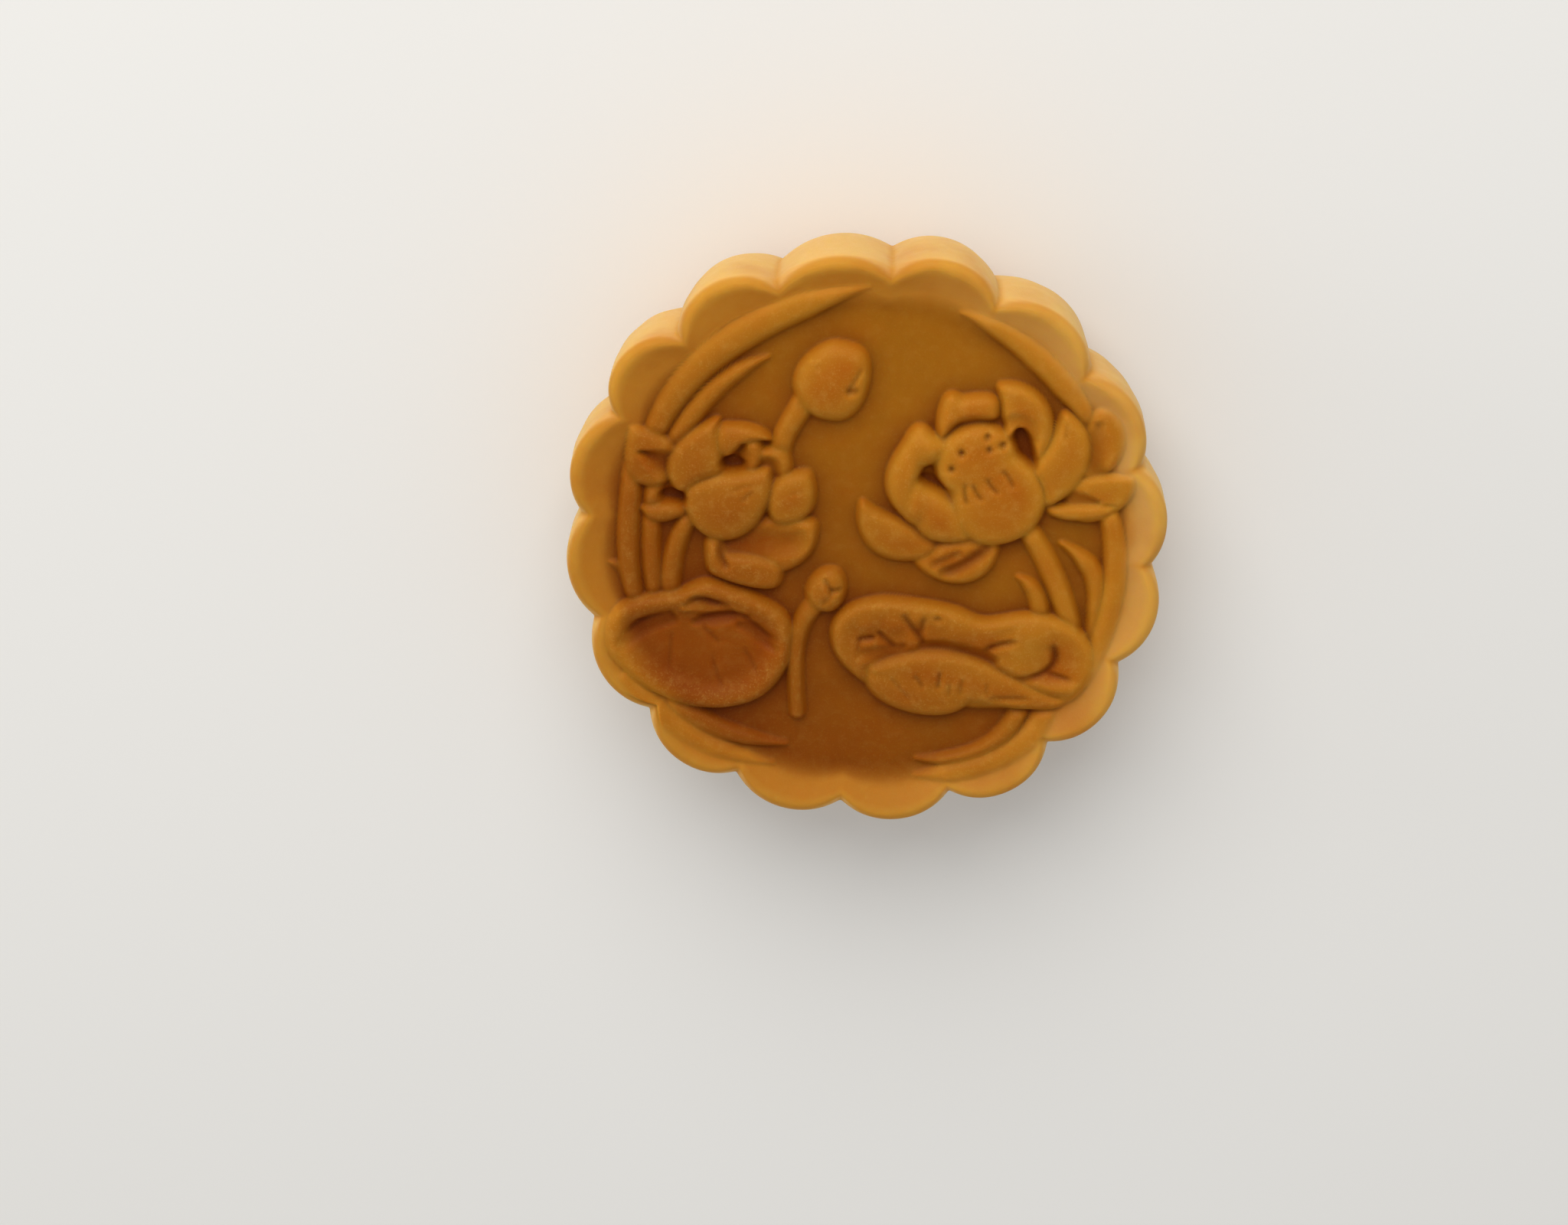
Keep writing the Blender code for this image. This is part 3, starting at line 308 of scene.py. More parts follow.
    def scoop(self, shape, floor, edge):
        """A hole with a petal's outline: down to its floor inside, with walls edge wide that ease in."""
        part, _, _, d = self.inside([petal_outline(*shape)])
        share = np.clip(d / edge, 0, 1)
        share = share**2 * (3 - 2 * share)
        self.height[part] += np.minimum(floor - self.height[part], 0) * share

    def hollow(self, ends, widths, depth, floor=0.0):
        """A soft hollow along a curve, deepest along its middle, but nowhere deeper than its floor. A
        negative depth makes a soft swell."""
        part, _, off, half = self.along(ends, widths)
        bell = np.clip(1 - (off / (HOLLOW_SPREAD * half)) ** 2, 0, 1) ** 1.3
        before = self.height[part]
        self.height[part] = np.maximum(before - depth * bell, np.minimum(before, floor))
        self.inner[part] *= 1 - 0.8 * bell * (depth < 0)

    def crease(self, ends, width, depth):
        """A fine groove along a curve, with a bell for its section. It runs out at both ends, over
        CREASE_RUN_OUT of its length."""
        part, at, off, _ = self.along(ends, (width, width), 3.0)
        ends_out = np.clip(np.minimum(at, 1 - at) / CREASE_RUN_OUT, 0, 1) ** 0.5
        groove = depth * ends_out * np.exp(-((off / (CREASE_BELL * width)) ** 2))
        self.height[part] -= np.minimum(groove, 0.9 * np.maximum(self.height[part], 0))
        self.folds[part] = np.maximum(self.folds[part], groove)

    def bump(self, x, y, size, rise):
        """A round bump or, with a negative rise, a dent: a bell of this size."""
        part, px, py = self.window(np.array([x, y]) - 3 * size, np.array([x, y]) + 3 * size)
        swell = rise * np.exp(-((px - x) ** 2 + (py - y) ** 2) / size**2)
        self.height[part] += swell
        self.folds[part] = np.maximum(self.folds[part], -swell)


def blurred(raster, softness):
    """A raster blurred by a bell of this many millimetres, by weakening its short waves."""
    waves = np.fft.fftfreq(raster.shape[0], CARVING_STEP)
    weaker = np.exp(-0.5 * (2 * np.pi * softness * waves) ** 2)
    return np.fft.ifft2(np.fft.fft2(raster) * np.outer(weaker, weaker)).real


def on_raster(raster, x, y):
    """A raster's value at any points, in proportion between its four nearest points."""
    last = raster.shape[0] - 1.001
    u = np.clip((x + CARVING_HALF) / CARVING_STEP, 0, last)
    v = np.clip((y + CARVING_HALF) / CARVING_STEP, 0, last)
    i, j = u.astype(int), v.astype(int)
    u, v = u - i, v - j
    low = raster[j, i] * (1 - u) + raster[j, i + 1] * u
    high = raster[j + 1, i] * (1 - u) + raster[j + 1, i + 1] * u
    return low * (1 - v) + high * v


pond = Carving()

# Grass and stems along the rim: control points, widths from end to end, rise
for ends, widths, rise in (
    ((-26.0, 10.0, -22.6, 22.0, -11.8, 27.6, -2.3, 30.8), (2.4, 3.3, 3.6, 3.1, 0.3), 1.4),
    ((-13.2, 21.3, -17.7, 19.3, -21.2, 14.9, -23.6, 9.4), (0.2, 1.5, 2.0, 2.2, 1.9), 1.2),
    ((8.3, 28.6, 14.0, 27.4, 21.4, 21.8, 24.4, 16.9), (0.3, 2.0, 2.7, 2.8, 1.3), 1.35),
    ((18.4, -3.2, 20.6, -3.9, 21.3, -6.4, 21.6, -8.4), (0.4, 1.4, 1.7, 1.9, 2.0), 1.1),
    ((18.8, 2.9, 21.6, -0.6, 23.8, -4.7, 25.2, -8.9), (2.2, 2.3, 2.3, 2.2), 1.3),
    ((23.0, 1.5, 28.6, -1.1, 28.4, -4.8, 28.1, -10.3), (0.4, 2.0, 2.2, 2.2, 1.5), 1.2),
    ((27.9, 6.1, 31.0, -0.8, 29.7, -8.6, 27.4, -15.5), (2.0, 2.4, 2.4, 2.3, 1.8), 1.4),
    ((20.3, -20.3, 18.8, -25.9, 14.0, -27.9, 8.6, -27.9), (2.1, 2.1, 1.9, 1.6, 0.3), 1.25),
    ((23.3, -20.1, 22.0, -26.6, 14.4, -29.2, 8.6, -30.0), (2.4, 2.5, 2.4, 2.2, 0.4), 1.35),
    ((-27.0, -20.0, -22.6, -25.8, -16.0, -29.2, -8.6, -30.0), (1.8, 2.4, 2.2, 0.4), 1.3),
    ((-21.0, -22.6, -17.6, -26.0, -12.0, -27.4, -7.2, -27.4), (2.0, 2.2, 1.8, 0.3), 1.2),
    ((-29.9, -5.7, -28.1, -6.2, -27.6, -7.3, -27.2, -9.1), (0.5, 1.2, 1.4, 1.2), 1.0),
    ((-25.3, 4.9, -25.7, -0.4, -25.3, -5.2, -24.2, -9.9), (1.8, 1.9, 2.0, 1.9), 1.15),
    ((-20.9, 0.7, -22.5, -2.3, -22.9, -5.7, -22.5, -9.1), (1.7, 2.0, 2.1, 2.0), 1.2),
    ((-28.2, 6.5, -27.9, 0.3, -28.5, -5.1, -26.6, -10.1), (1.8, 2.3, 2.4, 2.2, 1.7), 1.4),
):
    pond.blade(ends, widths, rise)

# Left leaf, with its rolled rim and folds
pond.leaf(
    (
        (-29.9, -14.5), (-29.0, -11.4), (-25.8, -9.6), (-21.6, -8.5), (-18.5, -7.0), (-15.0, -7.6),
        (-11.0, -8.9), (-8.4, -10.9), (-7.3, -15.0), (-10.5, -21.0), (-16.5, -23.3), (-23.0, -22.0),
        (-28.5, -18.0),
    ),
    1.85, 0.7, 1.8,
)
for ends, widths, depth in (
    ((-27.6, -15.6, -26.6, -14.0, -25.0, -13.0, -22.0, -12.2), (2.0, 2.6, 2.6, 1.6), 0.5),
    ((-20.4, -10.1, -18.8, -9.5, -17.2, -10.1, -15.0, -10.3), (1.0, 1.6, 1.6, 0.9), 0.5),
    ((-19.4, -12.3, -17.2, -12.1, -15.6, -11.4, -13.0, -11.0), (1.0, 1.8, 1.6, 0.9), 0.45),
    ((-14.0, -12.3, -12.2, -12.5, -11.4, -13.6, -9.6, -14.8), (1.2, 1.8, 1.8, 1.2), 0.45),
):
    pond.hollow(ends, widths, depth)
pond.hollow((-20.8, -10.6, -18.6, -10.1, -16.4, -10.1, -13.6, -10.4), (1.0, 1.8, 1.6, 0.8), -0.35)
for ends, width, depth in (
    ((-27.4, -14.6, -26.6, -12.9, -24.6, -11.8, -21.8, -11.2), 0.7, 0.5),
    ((-20.4, -9.6, -18.8, -8.6, -18.0, -9.6, -15.2, -9.7), 0.75, 0.7),
    ((-19.3, -11.7, -17.0, -11.5, -15.6, -10.8, -13.3, -10.5), 0.75, 0.65),
    ((-13.8, -11.4, -12.2, -11.4, -11.6, -13.1, -9.2, -13.7), 0.7, 0.5),
    ((-26.7, -12.5, -25.9, -12.9, -25.3, -12.8, -24.6, -12.4), 0.45, 0.25),
    ((-22.7, -10.9, -22.4, -11.2, -22.1, -11.6, -21.9, -12.0), 0.5, 0.3),
    ((-18.6, -12.7, -17.8, -13.3, -17.2, -14.0, -16.0, -15.0), 0.6, 0.3),
    ((-22.0, -13.8, -22.0, -14.6, -22.1, -16.4, -22.0, -19.0), 0.5, 0.2),
    ((-17.0, -16.0, -16.8, -17.6, -16.2, -19.2, -15.2, -20.6), 0.5, 0.2),
    ((-13.4, -15.0, -12.6, -16.2, -12.0, -17.2, -11.2, -18.4), 0.5, 0.2),
):
    pond.crease(ends, width, depth)

# Right leaf: lumps and creases at its left, a ball of dough at its right, and its lower side turned over
pond.leaf(
    (
        (-3.0, -12.2), (-1.7, -9.1), (2.2, -7.3), (7.5, -7.3), (11.5, -7.8), (15.0, -8.8), (20.5, -7.6),
        (25.3, -8.5), (28.2, -11.6), (28.0, -15.6), (25.4, -18.9), (20.0, -19.9), (12.0, -20.4),
        (4.0, -19.6), (-1.4, -16.0),
    ),
    1.75, 1.05, 2.6,
)
pond.hollow((0.8, -14.4, 2.2, -14.6, 3.6, -14.2, 5.6, -13.2), (1.6, 2.2, 2.0, 1.2), 0.45)
pond.hollow((8.0, -12.9, 10.4, -12.5, 13.0, -12.4, 16.6, -13.8), (1.6, 2.0, 1.8, 1.6), 0.6)
pond.hollow((19.4, -14.0, 19.9, -13.2, 20.4, -12.0, 20.8, -11.0), (6.6, 7.4, 7.0, 5.0), -0.75)
for x, y, size, rise in (
    (4.3, -10.4, 1.1, 0.3), (6.9, -9.3, 0.8, 0.25), (1.1, -10.6, 0.9, 0.25), (11.6, -10.4, 1.7, 0.3),
    (1.6, -13.1, 0.6, 0.2), (6.4, -12.2, 0.6, 0.2),
):
    pond.bump(x, y, size, rise)
for ends, width, depth in (
    ((5.2, -8.6, 6.0, -10.2, 7.4, -11.0, 8.1, -12.8), 0.7, 0.55),
    ((8.0, -8.9, 7.5, -9.6, 7.6, -10.4, 7.7, -11.2), 0.6, 0.4),
    ((9.9, -8.9, 9.6, -9.0, 9.3, -9.0, 8.9, -9.0), 0.6, 0.4),
    ((0.0, -12.6, 0.7, -12.5, 1.6, -12.4, 2.3, -12.1), 0.55, 0.5),
    ((2.5, -11.2, 2.8, -12.0, 3.8, -12.6, 4.8, -13.4), 0.6, 0.5),
    ((0.2, -12.6, 0.5, -13.2, 0.4, -13.6, 0.1, -14.1), 0.45, 0.3),
    ((15.3, -12.9, 16.0, -11.9, 17.4, -11.4, 19.2, -10.9), 0.7, 0.55),
    ((23.1, -11.0, 24.7, -12.8, 23.8, -15.4, 19.2, -15.9), 0.75, 0.6),
    ((22.9, -14.9, 24.0, -15.0, 24.8, -15.2, 26.2, -15.4), 0.6, 0.45),
):
    pond.crease(ends, width, depth)
pond.hollow((20.4, -16.9, 22.4, -16.9, 24.2, -16.8, 26.2, -16.2), (1.2, 1.8, 2.0, 1.6), -0.35)
pond.petal(
    (
        (25.8, -17.9, 1.4, -16.0, 2.6, 0.4, 0.8, 3.45, 0.6, 3.2),
        (14.6, -18.4, 1.6, -16.6, 4.3, 0.5, 0.8, 0.5, 0.5, 0.9),
    ),
    1.6, 1.3, 0.3, 0.0, 0.4,
)
for ends, width, depth in (
    ((10.3, -15.6, 10.4, -16.4, 10.2, -17.2, 10.3, -18.0), 0.5, 0.4),
    ((7.2, -16.5, 7.8, -16.9, 8.0, -17.3, 8.6, -18.0), 0.5, 0.35),
    ((13.2, -16.3, 12.9, -17.2, 12.9, -17.8, 13.2, -18.6), 0.5, 0.25),
    ((11.7, -16.9, 11.6, -17.5, 11.8, -18.2, 11.6, -18.9), 0.45, 0.2),
    ((16.2, -16.6, 16.0, -17.1, 16.0, -17.5, 16.3, -18.2), 0.5, 0.2),
    ((16.2, -18.7, 17.6, -18.4, 18.8, -18.4, 21.4, -18.2), 0.6, 0.35),
    ((4.4, -17.0, 5.4, -17.9, 6.2, -18.8, 7.4, -19.8), 0.5, 0.25),
):
    pond.crease(ends, width, depth)

# Small bud on its stem, between the leaves
pond.blade((-5.2, -8.7, -7.3, -11.6, -7.5, -14.4, -6.2, -23.0), (2.2, 1.9, 1.6, 1.7), 1.2)
pond.petal(((-4.8, -9.5, -3.2, -4.0, 2.3, 0.45, 0.9, 2.2, 0.4, 0.9),), 1.35, 1.2, 0.45, 0.0, 0.1)
pond.crease((-4.7, -5.1, -4.0, -5.6, -3.3, -6.6, -3.6, -7.3), 0.5, 0.4)
pond.crease((-3.5, -7.0, -3.6, -7.6, -4.1, -8.1, -4.7, -8.4), 0.5, 0.25)
pond.crease((-3.8, -6.7, -3.3, -6.6, -2.9, -6.5, -2.1, -6.3), 0.55, 0.5)

# Top bud on its stem, with a pinch in its side and crumbs of dough
pond.blade((-8.6, 16.4, -9.6, 14.0, -11.0, 12.1, -10.9, 9.7), (2.6, 2.4, 2.3, 2.2), 1.3)
pond.petal(((-6.5, 14.4, -5.7, 23.9, 3.9, 0.45, 1.4, 4.6, 0.55, 0.5),), 1.4, 1.6, 0.7)
pond.crease((-3.9, 17.9, -3.4, 18.9, -2.9, 19.7, -2.3, 21.2), 0.5, 0.35)
pond.crease((-4.0, 18.1, -3.6, 18.2, -3.2, 18.2, -2.4, 18.4), 0.7, 0.5)
for x, y, size, rise in (
    (28.1, 16.6, 0.3, 0.3), (-23.6, 11.3, 0.16, 0.25), (-18.7, 24.9, 0.18, 0.25), (-8.4, 21.4, 0.35, 0.25),
    (-7.5, 21.6, 0.15, 0.3), (-8.4, 20.9, 0.12, -0.2), (-7.4, 20.9, 0.25, -0.15), (-6.1, 21.0, 0.14, 0.15),
    (-7.8, 18.7, 0.14, 0.15), (-9.7, 16.2, 0.25, 0.4),
):
    pond.bump(x, y, size, rise)

# Left flower, from its back petals to the front one
pond.petal(((-11.3, 5.6, -11.7, 10.3, 1.9, 0.6, 0.5, 2.0, 0.5, 0.6),), 1.25, 0.9, 0.0)
pond.hollow((-13.2, 8.0, -12.2, 8.8, -11.4, 8.4, -11.4, 6.6), (1.6, 2.0, 2.0, 1.8), 0.85)
pond.petal(((-24.4, 4.6, -28.6, 11.8, 2.9, 0.35, 1.8, 3.6, 0.4, 1.9),), 1.4, 1.1, 0.3)
pond.hollow((-27.2, 8.6, -25.8, 8.2, -24.8, 7.6, -23.4, 7.0), (0.5, 2.0, 3.2, 3.6), 1.15)
pond.petal(
    (
        (-17.3, 8.5, -11.9, 11.2, 3.7, 0.25, 0.7, -0.8, 0.55, 2.4),
        (-18.3, 8.6, -17.3, 12.6, 1.1, 0.5, 0.9, 1.0, 0.5, 0.9),
    ),
    1.45, 1.0,
)
pond.petal(((-14.4, 6.6, -13.8, 11.0, 1.5, 0.5, 0.7, 0.9, 0.5, 0.8),), 1.25, 0.8, 0.0, 0.3, 0.15)
pond.hollow((-15.6, 7.0, -15.4, 8.4, -15.3, 9.4, -15.4, 10.4), (2.6, 2.6, 2.2, 1.0), 0.7)
pond.petal(((-22.7, 4.0, -18.3, 13.6, 2.8, 0.4, 1.8, 4.0, 0.3, 2.4),), 1.5, 1.2, 0.4)
pond.petal(((-21.3, 1.3, -26.8, 1.8, 1.7, 0.6, 1.8, 1.0, 0.25, 2.1),), 1.2, 0.8, 0.3)
pond.petal(((-18.1, -2.3, -6.0, 1.5, 1.6, 0.45, 1.0, 5.2, 0.55, 1.2),), 1.25, 1.0, 0.1, 0.6)
pond.hollow((-17.6, -1.2, -15.0, -1.8, -12.6, -1.4, -8.6, -0.8), (2.8, 5.0, 5.2, 3.6), 0.75, 0.1)
pond.petal(((-10.8, 1.1, -7.3, 7.8, 3.0, 0.45, 1.5, 2.7, 0.45, 1.6),), 1.45, 1.1, 0.4)
pond.petal(
    (
        (-9.5, -5.5, -18.0, -4.6, 2.2, 0.4, 0.5, 1.9, 0.4, 0.6),
        (-18.0, -1.1, -17.2, -6.0, 1.2, 0.4, 0.6, 1.1, 0.5, 0.6),
    ),
    1.5, 1.2, 0.2, 0.0, 0.1,
)
pond.crease((-17.1, -1.8, -17.2, -3.2, -16.6, -4.2, -15.8, -5.0), 0.7, 0.6)
pond.petal(((-20.0, -0.5, -12.2, 8.0, 4.5, 0.3, 2.1, 4.4, 0.4, 1.2),), 1.7, 1.4, 0.6)
pond.crease((-15.0, 3.7, -14.6, 4.2, -14.2, 4.6, -13.6, 5.2), 0.45, 0.22)
pond.crease((-16.2, 4.8, -15.4, 5.6, -14.6, 5.8, -13.6, 5.8), 0.4, 0.15)
pond.crease((-9.8, 5.0, -9.0, 5.3, -8.2, 5.4, -7.6, 5.8), 0.4, 0.12)
for ends, widths in (
    ((-24.2, 3.3, -23.4, 3.4, -22.8, 3.4, -22.0, 3.0), (1.1, 1.4, 1.5, 1.3)),
    ((-17.3, 7.9, -16.8, 8.1, -16.2, 8.1, -15.4, 8.0), (1.3, 1.7, 1.7, 1.2)),
):
    pond.hollow(ends, widths, 1.6, -0.6)

# Right flower: back petals, then the seed pod, front petal and curled side petal, which run together
pond.petal(((24.6, 9.6, 25.9, 18.8, 1.2, 0.6, 0.6, 3.45, 0.52, 1.1),), 1.4, 1.1, 0.3)
pond.hollow((25.5, 16.6, 25.5, 14.8, 25.6, 13.2, 25.9, 11.4), (1.4, 3.0, 3.4, 2.8), 0.8)
pond.petal(((22.6, 6.8, 30.2, 10.9, 2.4, 0.15, 1.1, 3.8, 0.4, 0.8),), 1.4, 1.0, 0.2, 0.3, 0.1)
pond.hollow((22.0, 7.0, 23.4, 7.2, 24.8, 7.3, 26.6, 7.3), (2.2, 2.6, 2.4, 0.8), 0.75, 0.15)
pond.petal(((20.6, 5.9, 28.9, 7.1, 0.25, 0.6, 1.0, 1.8, 0.5, 0.9),), 1.3, 0.8, 0.2, 0.3, 0.0)
pond.petal(((18.8, 5.5, 21.3, 18.0, 2.0, 0.15, 2.2, 4.8, 0.55, 1.2),), 1.5, 1.1, 0.4, 0.0, 0.2)
pond.crease((21.7, 16.8, 21.8, 16.0, 21.9, 15.4, 21.9, 14.6), 0.45, 0.18)
pond.petal(((17.9, 10.9, 13.3, 20.4, 2.4, 0.1, 2.0, 4.6, 0.5, 1.1),), 1.5, 1.1, 0.3)
pond.hollow((14.6, 15.6, 15.8, 16.6, 17.6, 16.6, 18.2, 14.2), (1.6, 2.6, 2.4, 1.4), 0.6)
pond.scoop((18.2, 9.6, 16.3, 15.6, 1.5, 0.5, 0.9, 1.5, 0.5, 0.8), -0.6, 0.7)
pond.petal(
    (
        (8.0, 12.6, 8.4, 18.9, 1.2, 0.5, 0.6, 1.6, 0.5, 0.9),
        (7.6, 16.2, 13.9, 16.7, 2.5, 0.7, 0.6, 1.8, 0.5, 0.8),
    ),
    1.45, 1.2,
)
pond.hollow((8.6, 12.6, 8.9, 14.9, 10.6, 15.6, 13.8, 15.4), (1.8, 2.6, 2.8, 2.2), 1.2)
pond.petal(((6.0, -2.3, 15.4, 1.4, 1.7, 0.4, 0.9, 4.3, 0.55, 1.3),), 1.2, 1.0)
pond.crease((8.8, -3.2, 11.0, -2.9, 12.4, -1.4, 14.8, 0.7), 1.2, 0.75)
pond.crease((7.6, -2.4, 9.2, -1.9, 10.2, -1.0, 11.6, -0.3), 0.9, 0.45)
pond.petal(((7.6, -1.4, -1.0, 5.0, 3.9, 0.5, 1.5, 2.3, 0.15, 2.4),), 1.2, 1.2, 0.3, 0.2)
pond.petal(
    (
        (19.7, 3.6, 9.7, 8.0, 5.2, 0.5, 1.3, 6.3, 0.55, 0.7),
        (7.3, 9.8, 16.6, 10.9, 5.1, 0.55, 0.8, 3.8, 0.5, 0.8),
        (11.9, 1.0, 4.8, 7.4, 3.4, 0.45, 2.4, 2.0, 0.5, 1.7),
        (5.2, 2.9, 4.5, 14.6, 3.2, 0.4, 2.0, 1.5, 0.9, 2.4),
        (4.4, 11.2, 8.4, 12.8, 2.6, 0.25, 1.2, 1.9, 0.3, 1.2),
        (5.6, 2.6, 5.2, 7.7, 1.4, 0.5, 0.9, 1.4, 0.5, 0.9),
    ),
    1.7, 1.4, 0.6,
)
pond.hollow((5.6, 8.3, 6.8, 8.2, 7.4, 8.0, 8.8, 6.9), (0.8, 1.5, 1.2, 0.4), 0.8, -0.4)
for x, y, size, depth in (
    (9.1, 10.0, 0.4, 0.7), (10.05, 12.1, 0.42, 0.8), (12.85, 14.3, 0.38, 0.8), (13.2, 12.8, 0.38, 0.7),
    (14.7, 13.4, 0.42, 0.8),
):
    pond.bump(x, y, size, -depth)
for ends in (
    (10.9, 8.6, 10.7, 7.6, 11.0, 6.6, 11.4, 5.7),
    (11.7, 8.6, 11.9, 7.7, 12.4, 7.2, 13.2, 6.4),
    (13.3, 9.5, 13.5, 8.7, 14.0, 8.1, 15.0, 7.5),
    (14.8, 10.4, 15.6, 10.0, 16.1, 9.3, 16.6, 8.2),
):
    pond.crease(ends, 0.5, 0.4)

relief = blurred(pond.height, BAKED_SOFTNESS)
x, y = np.meshgrid(pond.axis, pond.axis)
radius, angle = np.hypot(x, y + CARVING_UP), np.arctan2(y + CARVING_UP, x)
crest, rim_height, _ = rim_of(angle)

# No stretch of the dough is quite flat: it has low wide lumps, and smaller ones on them. Each pair is how
# high they rise and how wide they are. The ground also swells a little from place to place, and slopes up
# to the rim.
LUMPS = ((0.035, 1.6), (0.012, 0.45))
GROUND_SWELL = 0.08
RIM_SLOPE = 1.7
EDGE_WIDTH = 0.6
chance = np.random.default_rng(16)
lumps = np.zeros_like(relief)
for rise, size in LUMPS:
    wave = blurred(chance.normal(size=x.shape), size)
    lumps += rise * wave / wave.std()
ground = GROUND_HEIGHT + GROUND_SWELL * np.sin(0.16 * x + 1.0) * np.cos(0.13 * y)
inward = np.hypot(np.maximum(crest - radius, 0), RIM_ROUNDING) - RIM_ROUNDING
climb = np.clip(1 - inward / (crest - GROUND_RADIUS), 0, 1) ** RIM_SLOPE
edge = np.clip((crest + EDGE_WIDTH - radius) / EDGE_WIDTH, 0, 1)
face = ground + np.hypot(np.maximum(relief, 0) * edge, (rim_height - ground) * climb)
face += (np.minimum(relief, 0) + lumps) * edge

# How deep each place lies below what is round it, close by and further off, for the painted shade in the
# folds and round the feet of the shapes. The steep sides of the shapes keep little of it.
CREVICE_WIDTH = 0.5
CREVICE_DEPTH = 0.6
SHADE_WIDTH = 1.8
SHADE_DEPTH = 0.9
STEEP_SLOPE = 1.5
steep = np.clip(np.hypot(*np.gradient(face, CARVING_STEP)) / STEEP_SLOPE - 0.4, 0, 1)
crevice = np.clip((blurred(face, CREVICE_WIDTH) - face) / CREVICE_DEPTH, 0, 1) * edge * (1 - 0.8 * steep)
shade = np.clip((blurred(face, SHADE_WIDTH) - face) / SHADE_DEPTH, 0, 1) * edge * (1 - 0.7 * steep)

# The skin: a square grid bent to a disc for the face, rings of points down the wall, and the flat base. The
# face's inner rings are as round as if its rim were a circle of radius ROUND_TO; further out they take on
# the lobes.
GRID = 280
ROUND_TO = 32.0
WALL_LEVELS = (0.2, 0.4, 0.6, 0.8, 1.0, 1.5, 2.0, 2.17, 2.34, 2.5, 2.66, 2.8, 2.92, 3.0)
BASE_RINGS = (0.97, 0.7, 0.35)

a, b = np.meshgrid(np.linspace(-1, 1, GRID + 1), np.linspace(-1, 1, GRID + 1))
wide = np.abs(a) > np.abs(b)
reach = np.maximum(np.abs(a), np.abs(b))
with np.errstate(divide="ignore", invalid="ignore"):
    turn = np.where(wide, 0.25 * np.pi * b / a, 0.5 * np.pi - 0.25 * np.pi * a / b)
turn = np.where(reach == 0, 0.0, turn) + np.where(np.where(wide, a, b) < 0, np.pi, 0.0)
grid_crest, grid_rim, _ = rim_of(turn)
grid_radius = reach * (ROUND_TO + (grid_crest - ROUND_TO) * reach**3)
x, y = grid_radius * np.cos(turn), grid_radius * np.sin(turn)
top_z = np.where(reach > 0.9999, grid_rim, on_raster(face, x, y - CARVING_UP))
rings = [np.stack([x.ravel(), y.ravel(), top_z.ravel()], 1)]
number = np.arange((GRID + 1) ** 2).reshape(GRID + 1, GRID + 1)
corners = (number[:-1, :-1], number[:-1, 1:], number[1:, 1:], number[1:, :-1])
squares = [np.stack(corners, -1).reshape(-1, 4)]
border = np.concatenate([number[0, :-1], number[:-1, -1], number[-1, :0:-1], number[:0:-1, 0]])
around = turn.ravel()[border]
last, count = border, len(rings[0])
for down in WALL_LEVELS:
    rings.append(wall_ring(around, down))
    here = count + np.arange(len(around))
    squares.append(np.stack([last, here, np.roll(here, -1), np.roll(last, -1)], 1))
    last, count = here, count + len(around)
foot = rings[-1]
for share in BASE_RINGS:
    rings.append(foot * np.array([share, share, 0.0]))
    here = count + np.arange(len(around))
    squares.append(np.stack([last, here, np.roll(here, -1), np.roll(last, -1)], 1))
    last, count = here, count + len(around)
rings.append(np.zeros((1, 3)))
fan = np.stack([last, np.full(len(last), count), np.roll(last, -1)], 1)
points = np.vstack(rings)

low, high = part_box("mooncake")
shift = 0.5 * (points.max(0) + points.min(0))[:2]
middle = 0.5 * (np.array(low) + np.array(high))[:2] / MM
places = points.copy()
places[:, :2] += middle - shift
mesh = bpy.data.meshes.new("mooncake_crust")
mesh.from_pydata((places * MM).tolist(), [], np.vstack(squares).tolist() + fan.tolist())
mesh.shade_smooth()
mooncake = bpy.data.objects.new("mooncake_crust", mesh)
bpy.context.scene.collection.objects.link(mooncake)

# What the crust's colour goes by, at each point. Each row holds a raster for the face, and what the wall
# and the base get. For "face" that fades out over FACE_FADE down the wall.
FACE_FADE_FROM = 0.1
FACE_FADE = 0.7
FULL_HEIGHT = 1.5
FULL_FOLD = 0.6
FULL_DEPTH = 0.5
RELIEF_SOFTNESS = 0.3
SIDE_SOFTNESS = 0.15
FOLD_SOFTNESS = 0.12
on_face = np.arange(len(points)) < (GRID + 1) ** 2
below_face = RIM_HEIGHT - FACE_FADE_FROM - points[:, 2]
low_spots = np.clip(-pond.height, 0, FULL_DEPTH) / FULL_DEPTH
folds = np.clip(pond.folds, 0, FULL_FOLD) / FULL_FOLD + low_spots
for name, raster, elsewhere in (
    ("crevice", crevice, 0.0),
    ("shade", shade, 0.0),
    ("raised", blurred(np.clip(pond.height, 0, FULL_HEIGHT) / FULL_HEIGHT, RELIEF_SOFTNESS), 0.0),
    ("inner", blurred(pond.inner, RELIEF_SOFTNESS), 0.0),
    ("folds", blurred(folds, FOLD_SOFTNESS), 0.0),
    ("rim", climb, 1.0),
    ("face", np.ones_like(face), np.clip(1 - below_face / FACE_FADE, 0, 1)),
    # Painted shade: the lower half of the shapes' steep sides
    ("sides", blurred(steep * np.clip(1.3 - relief / 0.8, 0, 1), SIDE_SOFTNESS), 0.0),
):
    values = np.where(on_face, on_raster(raster, points[:, 0], points[:, 1] - CARVING_UP), elsewhere)
    mesh.attributes.new(name, "FLOAT", "POINT").data.foreach_set("value", values.astype(np.float32))
